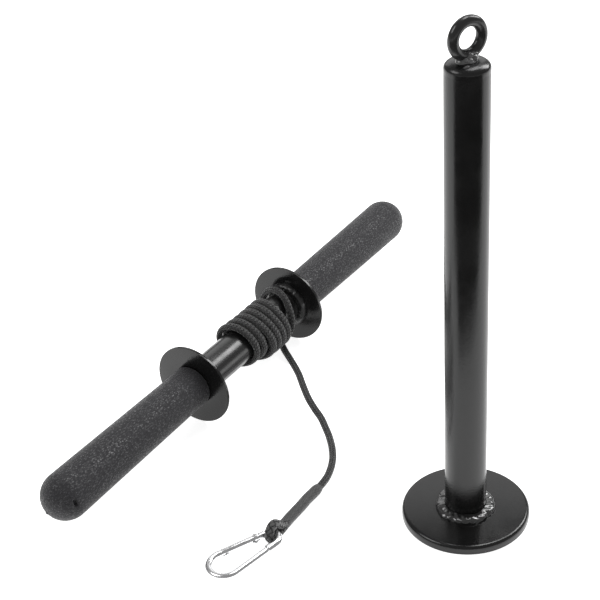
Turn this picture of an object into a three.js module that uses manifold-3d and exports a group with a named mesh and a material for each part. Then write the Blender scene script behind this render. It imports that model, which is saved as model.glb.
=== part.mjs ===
// Wrist roller and its loading pin. The roller is a steel tube with two welded
// flanges, a foam grip on each end, and a braided cord wound between the
// flanges that ends in a snap hook. The pin is a capped tube on a round base
// plate, with a welded eye ring for the hook. Millimetres, +Z up, floor at
// z = 0, X along the roller.

import * as THREE from "three";
import * as BufferGeometryUtils from "three/addons/utils/BufferGeometryUtils.js";
import Module from "manifold-3d";

const wasm = await Module();
wasm.setup();

// Fits shared by all pieces
const seatGap = 0.3;
const cutOverrun = 1;
const floorClearance = 0.1;
const mergeTolerance = 0.0001;

// Roller tube, and its cord hole from the right end of the inner layers
const tubeRadius = 12.7;
const tubeWallThickness = 2;
const cordHoleRadius = 2.7;
const cordHoleDistance = 7.6;

// Flanges and their weld beads
const flangeRadius = 30;
const flangeThickness = 2;
const flangeEdgeRadius = 0.6;
const flangeSpacing = 117.2;
const flangeWeldWidth = 4.4;
const flangeWeldHeight = 4.2;

// Shape of every weld bead: its section, and the ripples that run round it
const weldSectionShares = [[0, 0], [1, 0], [0.8, 0.45], [0.4, 0.85], [0, 1]];
const weldRippleShare = 0.1;
const weldRipples = 13;
const weldWaves = 5;

// Foam grips, with the foam beyond the tube's end
const gripLength = 154;
const gripRootRadius = 15;
const gripTipRadius = 16.6;
const gripDomeLength = 17;
const gripRootEdgeRadius = 1;
const gripEndThickness = 9;

// Cord wound on the tube, which starts on the tube itself and climbs onto the
// inner layers. It is heaviest below the front, and ends at its distance from
// the right flange.
const windingTurns = 7.25;
const windingPitch = 6.85;
const windingEndDistance = 13.9;
const windingStartRadius = 16.2;
const windingRadius = 18;
const windingStartOffset = -1;
const windingOffset = 1.8;
const windingHeavyAngle = -45;
const windingHalfWidth = 2.75;
const windingHalfHeight = 1.9;
const climbStartTurn = 1;
const climbEndTurn = 2.6;
const innerLayersRadius = 15.3;
const innerLayersOffset = 1.5;
const innerLayersStartDistance = 18.6;
const innerLayersEndDistance = 14.4;
const innerLayersEdgeRadius = 1.2;

// The turns lean and bow to the right at the front and the back
const leanStartLength = 3.5;
const leanEndLength = 0.6;
const leanStartTurn = 2;
const leanEndTurn = 6.6;
const bowLength = 3.7;
const bowStartTurn = -0.5;
const bowEndTurn = 3.2;

// The last turn stands off the others, on its way to the right flange
const looseShiftLength = 10.3;
const looseShiftStartTurn = 6.38;
const looseShiftEndTurn = 6.76;
const looseReturnLength = 7.5;
const looseReturnStartTurn = 6.9;
const looseRadius = 16.8;
const looseStartTurn = 5.9;
const looseRoundTurn = 6.3;
const looseEndTurn = 6.6;
const looseRiseHeight = 1.9;

// Knot inside the tube that holds the cord's inner end
const knotRadius = 4.2;
const knotNeckRadius = 2.3;

// Free cord, then its doubled end in a sleeve, about the roller's middle on
// the floor
const cordRadius = 2.5;
const leadRoute = [
  [44.5, 0.5, 5.5], [40.6, -5.2, 4.9], [36, -11.3, 3.8], [28, -22.8, 2.8], [18.5, -34.7, 2.6],
  [7.3, -46.2, 2.6], [-3.2, -57.4, 2.6], [-11.9, -68.6, 2.6], [-19.1, -78.9, 2.6],
  [-25.8, -86.4, 2.6], [-33.2, -94.3, 2.6], [-41.8, -102.1, 2.6], [-47.9, -106.7, 2.6],
  [-54, -110.6, 2.6], [-62.8, -114.7, 2.7], [-71.6, -117.6, 3], [-79, -118.9, 3.5],
];
const sleeveRadius = 3.7;
const sleeveRoute = [
  [-85.5, -119.4, 3.8], [-92.5, -119.2, 3.8], [-99, -119, 3.8], [-106, -119.4, 3.8],
  [-114, -119.5, 3.8], [-120.7, -119.6, 3.8], [-127.2, -120, 3.8],
];

// Cord eye round the wire of the snap hook
const eyeHalfWidth = 3;
const eyeHalfHeight = 1.7;
const eyeLoopRadius = 6.3;
const eyeLegGap = 0.5;
const eyeTopAngle = 118;
const eyeTopHandleLength = 3.4;
const eyeLegHandleLength = 3.4;
const eyeLegStraightLength = 1;

// Snap hook: pear outline measured on the wire's centreline
const wireRadius = 2.4;
const hookLength = 49.8;
const hookSmallRadius = 6.2;
const hookBigRadius = 10.6;
const hookHeading = 157.9;

// Gate of the snap hook, measured along its arm from the small end's bend, and
// the nose from the gate to the big end's bend
const gateRadius = 2.4;
const gateStartDistance = 4.2;
const gateNoseDistance = 2.3;
const gateRivetDistance = 6.6;
const gateSlotWidth = 1.8;
const gateHingeSlotDepth = 2.7;
const gateNoseSlotDepth = 3.8;
const gateBoreRadius = 1.3;
const gateBoreDepth = 12;
const tongueThickness = 1.2;
const tongueRadius = 1.9;
const noseTongueLength = 3.3;
const rivetRadius = 0.8;
const rivetHeadRadius = 1.5;
const rivetHeadHeight = 0.5;
const plungerRadius = 1;
const plungerLength = 4;
const springWallThickness = 0.4;

// Loading pin
const pinOffset = 54.8;
const pinDistance = 213.2;
const plateRadius = 41;
const plateThickness = 6;
const plateEdgeRadius = 1.6;
const plateFootRadius = 0.6;
const postRadius = 13.2;
const postWallThickness = 2.3;
const postHeight = 318;
const capThickness = 6;
const capEdgeRadius = 3.8;
const capSpigotLength = 8;
const baseWeldWidth = 5.8;
const baseWeldHeight = 4.4;

// Eye ring on the pin's cap
const ringOuterRadius = 13;
const ringWireRadius = 3.3;
const ringTurn = -24;
const ringLiftHeight = 1.3;
const ringWeldRadius = 8.5;
const ringWeldHeight = 3.6;
const ringWeldWidthShare = 0.66;

// Facets
const roundSteps = 40;
const smallSteps = 20;
const edgeSteps = 3;
const domeSteps = 7;
const weldSteps = 56;
const windingStepsPerTurn = 24;
const windingSides = 6;
const cordSides = 10;
const cordStepDiameters = 2;
const sleeveSteps = 8;
const eyeStepsPerTurn = 20;
const eyeLegSteps = 5;
const hookStepsPerTurn = 36;
const ringSteps = 32;
const ringSides = 12;

const radians = THREE.MathUtils.degToRad;
const ease = THREE.MathUtils.smoothstep;
const mix = THREE.MathUtils.lerp;

// Places worked out from the sizes above
const flangeInnerX = flangeSpacing / 2;
const flangeOuterX = flangeInnerX + flangeThickness;
const gripTipX = flangeOuterX + gripLength;
const tubeEndX = gripTipX - gripEndThickness;
const boreRadius = tubeRadius + seatGap;
const barY = (pinDistance + plateRadius - flangeRadius) / 2;
const pinY = barY - pinDistance;
const windingStartX = flangeInnerX - windingEndDistance - windingAdvance(windingTurns);
const innerLayersLeft = windingStartX + innerLayersStartDistance;
const innerLayersRight = flangeInnerX - windingEndDistance - innerLayersEndDistance;
const cordHoleX = innerLayersRight - cordHoleDistance;

const paint = { color: 0x141415, metalness: 0.3 };
const materials = {
  glossPaint: new THREE.MeshStandardMaterial({ ...paint, roughness: 0.22 }),
  satinPaint: new THREE.MeshStandardMaterial({ ...paint, roughness: 0.45 }),
  weld: new THREE.MeshStandardMaterial({ ...paint, roughness: 0.18 }),
  foam: new THREE.MeshStandardMaterial({ color: 0x1d1d1f, roughness: 0.85, metalness: 0 }),
  cord: new THREE.MeshStandardMaterial({ color: 0x161616, roughness: 0.8, metalness: 0 }),
  sleeve: new THREE.MeshStandardMaterial({ color: 0x2a2a2c, roughness: 0.6, metalness: 0 }),
  plating: new THREE.MeshStandardMaterial({ color: 0xd6d8da, roughness: 0.16, metalness: 1 }),
  steel: new THREE.MeshStandardMaterial({ color: 0x9a9b9c, roughness: 0.35, metalness: 1 }),
};


// Geometry with shared vertices, no collapsed triangles and faces outwards.
function closed(geometry) {
  const bare = geometry.clone();
  bare.deleteAttribute("normal");
  bare.deleteAttribute("uv");
  const shared = BufferGeometryUtils.mergeVertices(bare, mergeTolerance);
  const at = shared.getAttribute("position");
  const index = shared.getIndex().array;
  const kept = [];
  const corners = [new THREE.Vector3(), new THREE.Vector3(), new THREE.Vector3()];
  let volume = 0;
  for (let i = 0; i < index.length; i += 3) {
    const face = [index[i], index[i + 1], index[i + 2]];
    if (new Set(face).size === face.length) {
      kept.push(...face);
      corners.forEach((corner, j) => corner.fromBufferAttribute(at, face[j]));
      volume += corners[0].dot(corners[1].cross(corners[2]));
    }
  }
  if (volume < 0) {
    kept.reverse();
  }
  shared.setIndex(kept);
  return shared;
}

function toSolid(geometry) {
  const shared = closed(geometry);
  return new wasm.Manifold(new wasm.Mesh({
    numProp: 3,
    vertProperties: new Float32Array(shared.getAttribute("position").array),
    triVerts: new Uint32Array(shared.getIndex().array),
  }));
}

function toGeometry(solid) {
  const mesh = solid.getMesh();
  const geometry = new THREE.BufferGeometry();
  geometry.setAttribute("position", new THREE.BufferAttribute(mesh.vertProperties, 3));
  geometry.setIndex(new THREE.BufferAttribute(mesh.triVerts, 1));
  return geometry;
}

function joined(...geometries) {
  return geometries.map(toSolid).reduce((whole, piece) => whole.add(piece));
}

// Points [radius, height] of an arc in a profile, angles in degrees.
function arc(radius, height, size, from, to, steps = edgeSteps) {
  const points = [];
  for (let i = 0; i <= steps; i += 1) {
    const angle = radians(mix(from, to, i / steps));
    points.push([radius + size * Math.cos(angle), height + size * Math.sin(angle)]);
  }
  return points;
}

// Turns a profile of [radius, height] about Z, or about X where alongX is set.
function revolve(profile, alongX = false, steps = roundSteps) {
  const points = profile.map(([radius, height]) => new THREE.Vector2(radius, height));
  const geometry = new THREE.LatheGeometry(points, steps);
  if (alongX) {
    geometry.rotateZ(-Math.PI / 2);
  } else {
    geometry.rotateX(Math.PI / 2);
  }
  return closed(geometry);
}

function rod(radius, from, to, alongX = false, steps = smallSteps) {
  return revolve([[0, from], [radius, from], [radius, to], [0, to]], alongX, steps);
}

function box(low, high) {
  const size = low.map((value, i) => high[i] - value);
  const middle = low.map((value, i) => (high[i] + value) / 2);
  return new THREE.BoxGeometry(...size).translate(...middle);
}

// Skins rings of points into one body, closed by end caps or joined round.
function skin(rings, round = false) {
  const sides = rings[0].length;
  const positions = rings.flat().flatMap((point) => [point.x, point.y, point.z]);
  const faces = [];
  const spans = round ? rings.length : rings.length - 1;
  for (let i = 0; i < spans; i += 1) {
    const here = i * sides;
    const next = ((i + 1) % rings.length) * sides;
    for (let j = 0; j < sides; j += 1) {
      const k = (j + 1) % sides;
      faces.push(here + j, next + j, next + k, here + j, next + k, here + k);
    }
  }
  if (!round) {
    const last = (rings.length - 1) * sides;
    for (let j = 1; j < sides - 1; j += 1) {
      faces.push(0, j, j + 1, last, last + j + 1, last + j);
    }
  }
  const geometry = new THREE.BufferGeometry();
  geometry.setAttribute("position", new THREE.Float32BufferAttribute(positions, 3));
  geometry.setIndex(faces);
  return closed(geometry);
}

// Rings across a path. Each station has a centre, the direction out of the
// bend, and half the width and height of the section.
function sectionRings(stations, sides) {
  const angles = Array.from({ length: sides }, (_, j) => (2 * Math.PI * j) / sides);
  const tallest = Math.max(...angles.map(Math.sin));
  return stations.map((station, i) => {
    const before = stations[Math.max(i - 1, 0)].centre;
    const after = stations[Math.min(i + 1, stations.length - 1)].centre;
    const along = after.clone().sub(before).normalize();
    const side = new THREE.Vector3().crossVectors(along, station.outward).normalize();
    const up = new THREE.Vector3().crossVectors(side, along);
    return angles.map((angle) => station.centre.clone()
      .addScaledVector(side, station.halfWidth * Math.cos(angle))
      .addScaledVector(up, (station.halfHeight * Math.sin(angle)) / tallest));
  });
}

// Weld bead in the corner of a tube and a plate: width on the plate, height on
// the tube.
function weldBead(innerRadius, width, height, alongX = false) {
  const rings = [];
  for (let i = 0; i < weldSteps; i += 1) {
    const angle = (2 * Math.PI * i) / weldSteps;
    const ripple = weldRippleShare * (Math.sin(angle * weldRipples) + Math.sin(angle * weldWaves));
    rings.push(weldSectionShares.map(([wide, tall]) => {
      const radius = innerRadius + width * wide * (1 + ripple);
      const rise = height * tall * (1 - ripple);
      const across = [radius * Math.cos(angle), radius * Math.sin(angle)];
      return alongX ? new THREE.Vector3(rise, ...across) : new THREE.Vector3(...across, rise);
    }));
  }
  return skin(rings, true);
}

function add(parent, name, geometry, material) {
  const mesh = new THREE.Mesh(geometry, material);
  mesh.name = name;
  parent.add(mesh);
  return mesh;
}

function rollerTube() {
  const inner = tubeRadius - tubeWallThickness;
  const tube = revolve([
    [inner, -tubeEndX], [tubeRadius, -tubeEndX], [tubeRadius, tubeEndX], [inner, tubeEndX],
    [inner, -tubeEndX],
  ], true);
  const drill = rod(cordHoleRadius, 0, tubeRadius + cutOverrun).translate(cordHoleX, 0, 0);
  return toGeometry(toSolid(tube).subtract(toSolid(drill)));
}

function flange() {
  const outer = flangeRadius - flangeEdgeRadius;
  return revolve([
    [boreRadius, flangeInnerX],
    ...arc(outer, flangeInnerX + flangeEdgeRadius, flangeEdgeRadius, -90, 0),
    ...arc(outer, flangeOuterX - flangeEdgeRadius, flangeEdgeRadius, 0, 90),
    [boreRadius, flangeOuterX],
    [boreRadius, flangeInnerX],
  ], true);
}

function flangeWeld() {
  return weldBead(boreRadius, flangeWeldWidth, -flangeWeldHeight, true).translate(flangeInnerX, 0, 0);
}

function grip() {
  const root = flangeOuterX + seatGap;
  const domeStart = gripTipX - gripDomeLength;
  const dome = [];
  for (let i = 0; i < domeSteps; i += 1) {
    const angle = (Math.PI / 2) * (i / domeSteps);
    dome.push([gripTipRadius * Math.cos(angle), domeStart + gripDomeLength * Math.sin(angle)]);
  }
  const boreEnd = tubeEndX + seatGap;
  const rootEdge = gripRootRadius - gripRootEdgeRadius;
  return revolve([
    [0, boreEnd],
    [boreRadius, boreEnd],
    [boreRadius, root],
    ...arc(rootEdge, root + gripRootEdgeRadius, gripRootEdgeRadius, -90, 0),
    ...dome,
    [0, gripTipX],
  ], true);
}

// Angle round the tube after so many turns. The cord passes under the tube
// towards -Y, then over it.
function windingAngle(turn) {
  return Math.PI * (2 * turn - 1);
}

// 1 on the winding's heavy side, -1 opposite.
function heavySide(turn) {
  return Math.cos(windingAngle(turn) - radians(windingHeavyAngle));
}

// Way along the tube after so many turns.
function windingAdvance(turn) {
  const side = heavySide(turn);
  const lean = mix(leanStartLength, leanEndLength, ease(turn, leanStartTurn, leanEndTurn));
  const bow = bowLength * ease(turn, bowStartTurn, bowEndTurn);
  const shift = looseShiftLength * ease(turn, looseShiftStartTurn, looseShiftEndTurn);
  const back = looseReturnLength * ease(turn, looseReturnStartTurn, windingTurns);
  return windingPitch * turn + lean * side + bow * side ** 2 + shift - back;
}

// Place, outward direction and section of the outer layer after so many turns.
function windingStation(turn) {
  const angle = windingAngle(turn);
  const climbed = ease(turn, climbStartTurn, climbEndTurn);
  const rounded = ease(turn, looseStartTurn, looseRoundTurn);
  const loose = ease(turn, looseStartTurn, looseEndTurn);
  const offset = mix(windingStartOffset, windingOffset, climbed) * heavySide(turn);
  const tight = mix(windingStartRadius, windingRadius, climbed) + offset;
  const rise = looseRiseHeight * ease(turn, looseReturnStartTurn, windingTurns);
  const outward = new THREE.Vector3(0, -Math.cos(angle), Math.sin(angle));
  const centre = outward.clone().multiplyScalar(mix(tight, looseRadius, loose) + rise);
  centre.x = windingStartX + windingAdvance(turn);
  return {
    centre,
    outward,
    halfWidth: mix(windingHalfWidth, cordRadius, rounded),
    halfHeight: mix(windingHalfHeight, cordRadius, rounded),
  };
}

// A station one cord diameter straight on from an end.
function straightOn(end, before) {
  const heading = end.centre.clone().sub(before.centre).normalize();
  return { ...end, centre: end.centre.clone().addScaledVector(heading, 2 * cordRadius) };
}

function windingRings() {
  const count = Math.round(windingTurns * windingStepsPerTurn);
  const stations = [];
  for (let i = 0; i <= count; i += 1) {
    stations.push(windingStation(i / windingStepsPerTurn));
  }
  stations.unshift(straightOn(stations[0], stations[1]));
  stations.push(straightOn(stations.at(-1), stations.at(-2)));
  return sectionRings(stations, windingSides);
}

// Least distance between points of rings that are over half a turn apart.
function leastSelfGap(rings) {
  const apart = windingStepsPerTurn / 2;
  let least = Infinity;
  for (let i = 0; i < rings.length; i += 1) {
    for (let j = i + apart; j < rings.length; j += 1) {
      for (const point of rings[i]) {
        for (const other of rings[j]) {
          least = Math.min(least, point.distanceTo(other));
        }
      }
    }
  }
  return least;
}

function innerLayers() {
  const outer = innerLayersRadius;
  const edge = innerLayersEdgeRadius;
  const heavy = radians(windingHeavyAngle);
  const layers = revolve([
    [0, innerLayersLeft],
    ...arc(outer - edge, innerLayersLeft + edge, edge, -90, 0),
    ...arc(outer - edge, innerLayersRight - edge, edge, 0, 90),
    [0, innerLayersRight],
  ], true);
  layers.translate(0, -innerLayersOffset * Math.cos(heavy), innerLayersOffset * Math.sin(heavy));
  const start = innerLayersLeft - cutOverrun;
  const end = innerLayersRight + cutOverrun;
  const bore = rod(boreRadius, start, end, true, roundSteps);
  return toGeometry(toSolid(layers).subtract(toSolid(bore)));
}

function cordKnot() {
  const height = tubeRadius - tubeWallThickness - knotRadius - seatGap;
  const knot = new THREE.SphereGeometry(knotRadius, smallSteps, smallSteps / 2);
  knot.translate(0, 0, height);
  const neck = rod(knotNeckRadius, height, tubeRadius);
  return toGeometry(joined(knot, neck)).translate(cordHoleX, 0, 0);
}

const routePoint = ([x, y, z]) => new THREE.Vector3(x, y + barY, z);

function circle(radius, sides) {
  const shape = new THREE.Shape();
  for (let i = 0; i < sides; i += 1) {
    const angle = (2 * Math.PI * i) / sides;
    const point = [radius * Math.cos(angle), radius * Math.sin(angle)];
    if (i === 0) {
      shape.moveTo(...point);
    } else {
      shape.lineTo(...point);
    }
  }
  return shape;
}

function tubeAlong(curve, radius, steps) {
  const options = { steps, extrudePath: curve, bevelEnabled: false };
  return closed(new THREE.ExtrudeGeometry(circle(radius, cordSides), options));
}

const sleeveCurve = new THREE.CatmullRomCurve3(sleeveRoute.map(routePoint));
const sleeveStart = sleeveCurve.getPointAt(0);
const sleeveEnd = sleeveCurve.getPointAt(1);

function cordLead() {
  const meets = sleeveStart.clone().addScaledVector(sleeveCurve.getTangentAt(0), -seatGap);
  const curve = new THREE.CatmullRomCurve3([...leadRoute.map(routePoint), meets]);
  const steps = Math.round(curve.getLength() / (2 * cordRadius * cordStepDiameters));
  return tubeAlong(curve, cordRadius, steps);
}

// The eye stands upright in line with the sleeve's end. Its lower leg lies
// along the floor, and the hook's wire rests on that leg inside the loop.
const pull = sleeveCurve.getTangentAt(1).setZ(0).normalize();
const eyeLegs = sleeveEnd.clone().addScaledVector(pull, seatGap);
const eyeLowerZ = floorClearance + eyeHalfHeight;
const eyeUpperZ = eyeLowerZ + 2 * eyeHalfHeight + eyeLegGap;
const eyeCentreZ = eyeLowerZ + eyeLoopRadius;
const wireZ = eyeLowerZ + eyeHalfHeight + seatGap + wireRadius;
const eyeReach = 2 * eyeLoopRadius;
const wireContact = eyeLegs.clone().addScaledVector(pull, eyeReach).setZ(wireZ);

function eyeStation(along, height, outwardAlong, outwardUp) {
  const centre = wireContact.clone().addScaledVector(pull, along).setZ(height);
  const outward = pull.clone().multiplyScalar(outwardAlong).setZ(outwardUp);
  return { centre, outward, halfWidth: eyeHalfWidth, halfHeight: eyeHalfHeight };
}

function cordEye() {
  const stations = [];
  for (let i = 0; i < eyeLegSteps; i += 1) {
    stations.push(eyeStation(-eyeReach * (1 - i / eyeLegSteps), eyeLowerZ, 0, -1));
  }
  const loopSteps = Math.round((eyeStepsPerTurn * (90 + eyeTopAngle)) / 360);
  for (let i = 0; i <= loopSteps; i += 1) {
    const angle = radians(mix(-90, eyeTopAngle, i / loopSteps));
    const [along, up] = [Math.cos(angle), Math.sin(angle)];
    stations.push(eyeStation(eyeLoopRadius * along, eyeCentreZ + eyeLoopRadius * up, along, up));
  }
  const last = radians(eyeTopAngle);
  const top = new THREE.Vector2(Math.cos(last), Math.sin(last)).multiplyScalar(eyeLoopRadius);
  top.y += eyeCentreZ;
  const heading = new THREE.Vector2(-Math.sin(last), Math.cos(last));
  const leg = new THREE.CubicBezierCurve(
    top,
    top.clone().addScaledVector(heading, eyeTopHandleLength),
    new THREE.Vector2(-eyeReach + eyeLegStraightLength + eyeLegHandleLength, eyeUpperZ),
    new THREE.Vector2(-eyeReach + eyeLegStraightLength, eyeUpperZ),
  );
  for (let i = 1; i <= eyeLegSteps; i += 1) {
    const point = leg.getPoint(i / eyeLegSteps);
    const along = leg.getTangent(i / eyeLegSteps);
    stations.push(eyeStation(point.x, point.y, along.y, -along.x));
  }
  stations.push(eyeStation(-eyeReach, eyeUpperZ, 0, 1));
  return skin(sectionRings(stations, cordSides));
}

// Hook in its own plane: X from the small end to the big end, the gate on -Y.
const bigCentreX = hookLength - hookBigRadius;
const armSlope = Math.asin((hookBigRadius - hookSmallRadius) / (bigCentreX - hookSmallRadius));
const armLength = (bigCentreX - hookSmallRadius) * Math.cos(armSlope);
const armNormal = [-Math.sin(armSlope), -Math.cos(armSlope)];
const gateEnd = armLength - gateNoseDistance;
const hingeSlotEnd = gateRivetDistance + gateHingeSlotDepth;

function hookStation(x, y, outwardX, outwardY) {
  return {
    centre: new THREE.Vector3(x, y, 0),
    outward: new THREE.Vector3(outwardX, outwardY, 0),
    halfWidth: wireRadius,
    halfHeight: wireRadius,
  };
}

// A place on the gate's arm, so far along from the small end's bend.
function armPoint(along) {
  return [
    hookSmallRadius * (1 + armNormal[0]) + along * Math.cos(armSlope),
    hookSmallRadius * armNormal[1] - along * Math.sin(armSlope),
  ];
}

function bend(centreX, radius, from, to) {
  const steps = Math.round((hookStepsPerTurn * Math.abs(to - from)) / (2 * Math.PI));
  const stations = [];
  for (let i = 0; i <= steps; i += 1) {
    const angle = mix(from, to, i / steps);
    const [x, y] = [Math.cos(angle), Math.sin(angle)];
    stations.push(hookStation(centreX + radius * x, radius * y, x, y));
  }
  return stations;
}

// Puts a piece made along X onto the gate's arm.
function onArm(geometry) {
  return geometry.rotateZ(-armSlope).translate(...armPoint(0), 0);
}

function tongue(from, to, roundEnd) {
  const half = tongueThickness / 2;
  const bar = box([from, -tongueRadius, -half], [to, tongueRadius, half]);
  const end = rod(tongueRadius, -half, half).translate(roundEnd, 0, 0);
  return joined(bar, end);
}

function rivetHole(reach) {
  return toSolid(rod(rivetRadius + seatGap, -reach, reach).translate(gateRivetDistance, 0, 0));
}

function hookBody() {
  const lower = -Math.PI / 2 - armSlope;
  const upper = Math.PI / 2 + armSlope;
  const hingeFace = hookStation(...armPoint(gateStartDistance - seatGap), ...armNormal);
  const noseFace = hookStation(...armPoint(gateEnd + seatGap), ...armNormal);
  const wire = toSolid(skin(sectionRings([
    hingeFace,
    ...bend(hookSmallRadius, hookSmallRadius, lower, -2 * Math.PI + upper),
    ...bend(bigCentreX, hookBigRadius, upper, lower),
    noseFace,
  ], smallSteps / 2)));
  const hingeStart = gateStartDistance - wireRadius;
  const hinge = tongue(hingeStart, gateRivetDistance, gateRivetDistance);
  const noseTip = gateEnd - noseTongueLength + tongueRadius;
  const nose = tongue(noseTip, gateEnd + wireRadius, noseTip);
  return toGeometry(wire
    .add(toSolid(onArm(toGeometry(hinge.subtract(rivetHole(wireRadius))))))
    .add(toSolid(onArm(toGeometry(nose)))));
}

function gate() {
  const slot = gateSlotWidth / 2;
  const reach = gateRadius + cutOverrun;
  const body = toSolid(rod(gateRadius, gateStartDistance, gateEnd, true));
  const hingeEnd = rod(gateRivetDistance - gateStartDistance, -reach, reach);
  hingeEnd.translate(gateRivetDistance, 0, 0);
  const rest = box([gateRivetDistance, -reach, -reach], [gateEnd + cutOverrun, reach, reach]);
  const hingeCut = box(
    [gateStartDistance - cutOverrun, -reach, -slot],
    [hingeSlotEnd, reach, slot],
  );
  const noseCut = box([gateEnd - gateNoseSlotDepth, -reach, -slot], [gateEnd + cutOverrun, reach, slot]);
  const bore = rod(gateBoreRadius, gateRivetDistance, hingeSlotEnd + gateBoreDepth, true);
  return toGeometry(body
    .intersect(joined(hingeEnd, rest))
    .subtract(toSolid(hingeCut))
    .subtract(toSolid(noseCut))
    .subtract(toSolid(bore))
    .subtract(rivetHole(reach)));
}

function gateRivetPin() {
  const seat = gateRadius + seatGap;
  const top = seat + rivetHeadHeight;
  return revolve([
    [0, -top], [rivetHeadRadius - rivetHeadHeight, -top], [rivetHeadRadius, -seat],
    [rivetRadius, -seat], [rivetRadius, seat],
    [rivetHeadRadius, seat], [rivetHeadRadius - rivetHeadHeight, top], [0, top],
  ], false, smallSteps).translate(gateRivetDistance, 0, 0);
}

const plungerStart = gateRivetDistance + tongueRadius + seatGap;
const springStart = plungerStart + plungerLength + seatGap;
const springEnd = hingeSlotEnd + gateBoreDepth - seatGap;

function gateSpring() {
  const inner = plungerRadius - springWallThickness;
  return revolve([
    [inner, springStart], [plungerRadius, springStart], [plungerRadius, springEnd],
    [inner, springEnd], [inner, springStart],
  ], true, smallSteps);
}

function basePlate() {
  const foot = plateRadius - plateFootRadius;
  const shoulder = plateRadius - plateEdgeRadius;
  return revolve([
    [0, 0],
    ...arc(foot, plateFootRadius, plateFootRadius, -90, 0),
    ...arc(shoulder, plateThickness - plateEdgeRadius, plateEdgeRadius, 0, 90),
    [0, plateThickness],
  ]);
}

function postTube() {
  const inner = postRadius - postWallThickness;
  const top = postHeight - capThickness;
  return revolve([
    [inner, plateThickness], [postRadius, plateThickness], [postRadius, top], [inner, top],
    [inner, plateThickness],
  ]);
}

function postCap() {
  const seat = postHeight - capThickness;
  const spigot = postRadius - postWallThickness - seatGap;
  return revolve([
    [0, seat - capSpigotLength],
    [spigot, seat - capSpigotLength],
    [spigot, seat],
    [postRadius, seat],
    ...arc(postRadius - capEdgeRadius, postHeight - capEdgeRadius, capEdgeRadius, 0, 90),
    [0, postHeight],
  ]);
}

function eyeRing(wire) {
  const ring = new THREE.TorusGeometry(ringOuterRadius - ringWireRadius, wire, ringSides, ringSteps);
  ring.rotateX(Math.PI / 2);
  ring.rotateZ(radians(ringTurn));
  return ring.translate(0, 0, postHeight + ringLiftHeight + ringOuterRadius);
}

function ringWeld() {
  const quarter = arc(0, 0, 1, 0, 90, domeSteps).slice(0, -1);
  const dome = revolve([[0, 0], ...quarter, [0, 1]], false, smallSteps);
  dome.scale(ringWeldRadius, ringWeldRadius * ringWeldWidthShare, ringWeldHeight);
  dome.rotateZ(radians(ringTurn));
  dome.translate(0, 0, postHeight);
  return toGeometry(toSolid(dome).subtract(toSolid(eyeRing(ringWireRadius + seatGap))));
}

const model = new THREE.Group();

const roller = new THREE.Group();
roller.position.set(0, barY, flangeRadius);
model.add(roller);
add(roller, "roller_tube", rollerTube(), materials.glossPaint);
for (const [name, side] of [["left", -1], ["right", 1]]) {
  const mirrored = (geometry) => closed(geometry.scale(side, 1, 1));
  add(roller, `${name}_flange`, mirrored(flange()), materials.satinPaint);
  add(roller, `${name}_flange_weld`, mirrored(flangeWeld()), materials.weld);
  add(roller, `${name}_grip`, mirrored(grip()), materials.foam);
}
const rings = windingRings();
console.log(`winding: least gap to itself ${leastSelfGap(rings).toFixed(2)} mm`);
add(roller, "cord_inner_layers", innerLayers(), materials.cord);
add(roller, "cord_winding", skin(rings), materials.cord);
add(roller, "cord_knot", cordKnot(), materials.cord);

add(model, "cord_lead", cordLead(), materials.cord);
add(model, "cord_sleeve", tubeAlong(sleeveCurve, sleeveRadius, sleeveSteps), materials.sleeve);
add(model, "cord_eye", cordEye(), materials.cord);

// The hook hangs from the eye by its small end and lies on its big end. The
// wire that the eye holds faces the pull.
const pullAngle = Math.atan2(-pull.y, -pull.x) - radians(hookHeading);
const heldX = hookSmallRadius + hookSmallRadius * Math.cos(pullAngle);
const heldY = hookSmallRadius * Math.sin(pullAngle);
const hook = new THREE.Group();
hook.position.copy(wireContact);
hook.rotation.order = "ZYX";
hook.rotation.z = radians(hookHeading);
hook.rotation.y = Math.asin((wireZ - wireRadius - floorClearance) / (hookLength - heldX));
model.add(hook);
const outline = new THREE.Group();
outline.position.set(-heldX, -heldY, 0);
hook.add(outline);
add(outline, "hook_body", hookBody(), materials.plating);
add(outline, "hook_gate", onArm(gate()), materials.plating);
add(outline, "gate_rivet", onArm(gateRivetPin()), materials.steel);
const plunger = rod(plungerRadius, plungerStart, plungerStart + plungerLength, true);
add(outline, "gate_plunger", onArm(plunger), materials.steel);
add(outline, "gate_spring", onArm(gateSpring()), materials.steel);

const pin = new THREE.Group();
pin.position.set(-pinOffset, pinY, 0);
model.add(pin);
add(pin, "base_plate", basePlate(), materials.satinPaint);
add(pin, "post_tube", postTube(), materials.satinPaint);
const baseWeld = weldBead(postRadius + seatGap, baseWeldWidth, baseWeldHeight);
add(pin, "base_weld", baseWeld, materials.weld).position.z = plateThickness;
add(pin, "post_cap", postCap(), materials.satinPaint);
add(pin, "eye_ring", eyeRing(ringWireRadius), materials.satinPaint);
add(pin, "eye_ring_weld", ringWeld(), materials.weld);

export default model;
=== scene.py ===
"""Wrist roller and its loading pin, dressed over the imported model.

Shapes are worked out in millimetres in the model's own frame and put into
meshes in metres. The roller lies along X, the floor is at z = 0.
"""
from math import asin, cos, pi, radians, sin

import bpy
import numpy as np
from mathutils import Matrix, Vector


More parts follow.
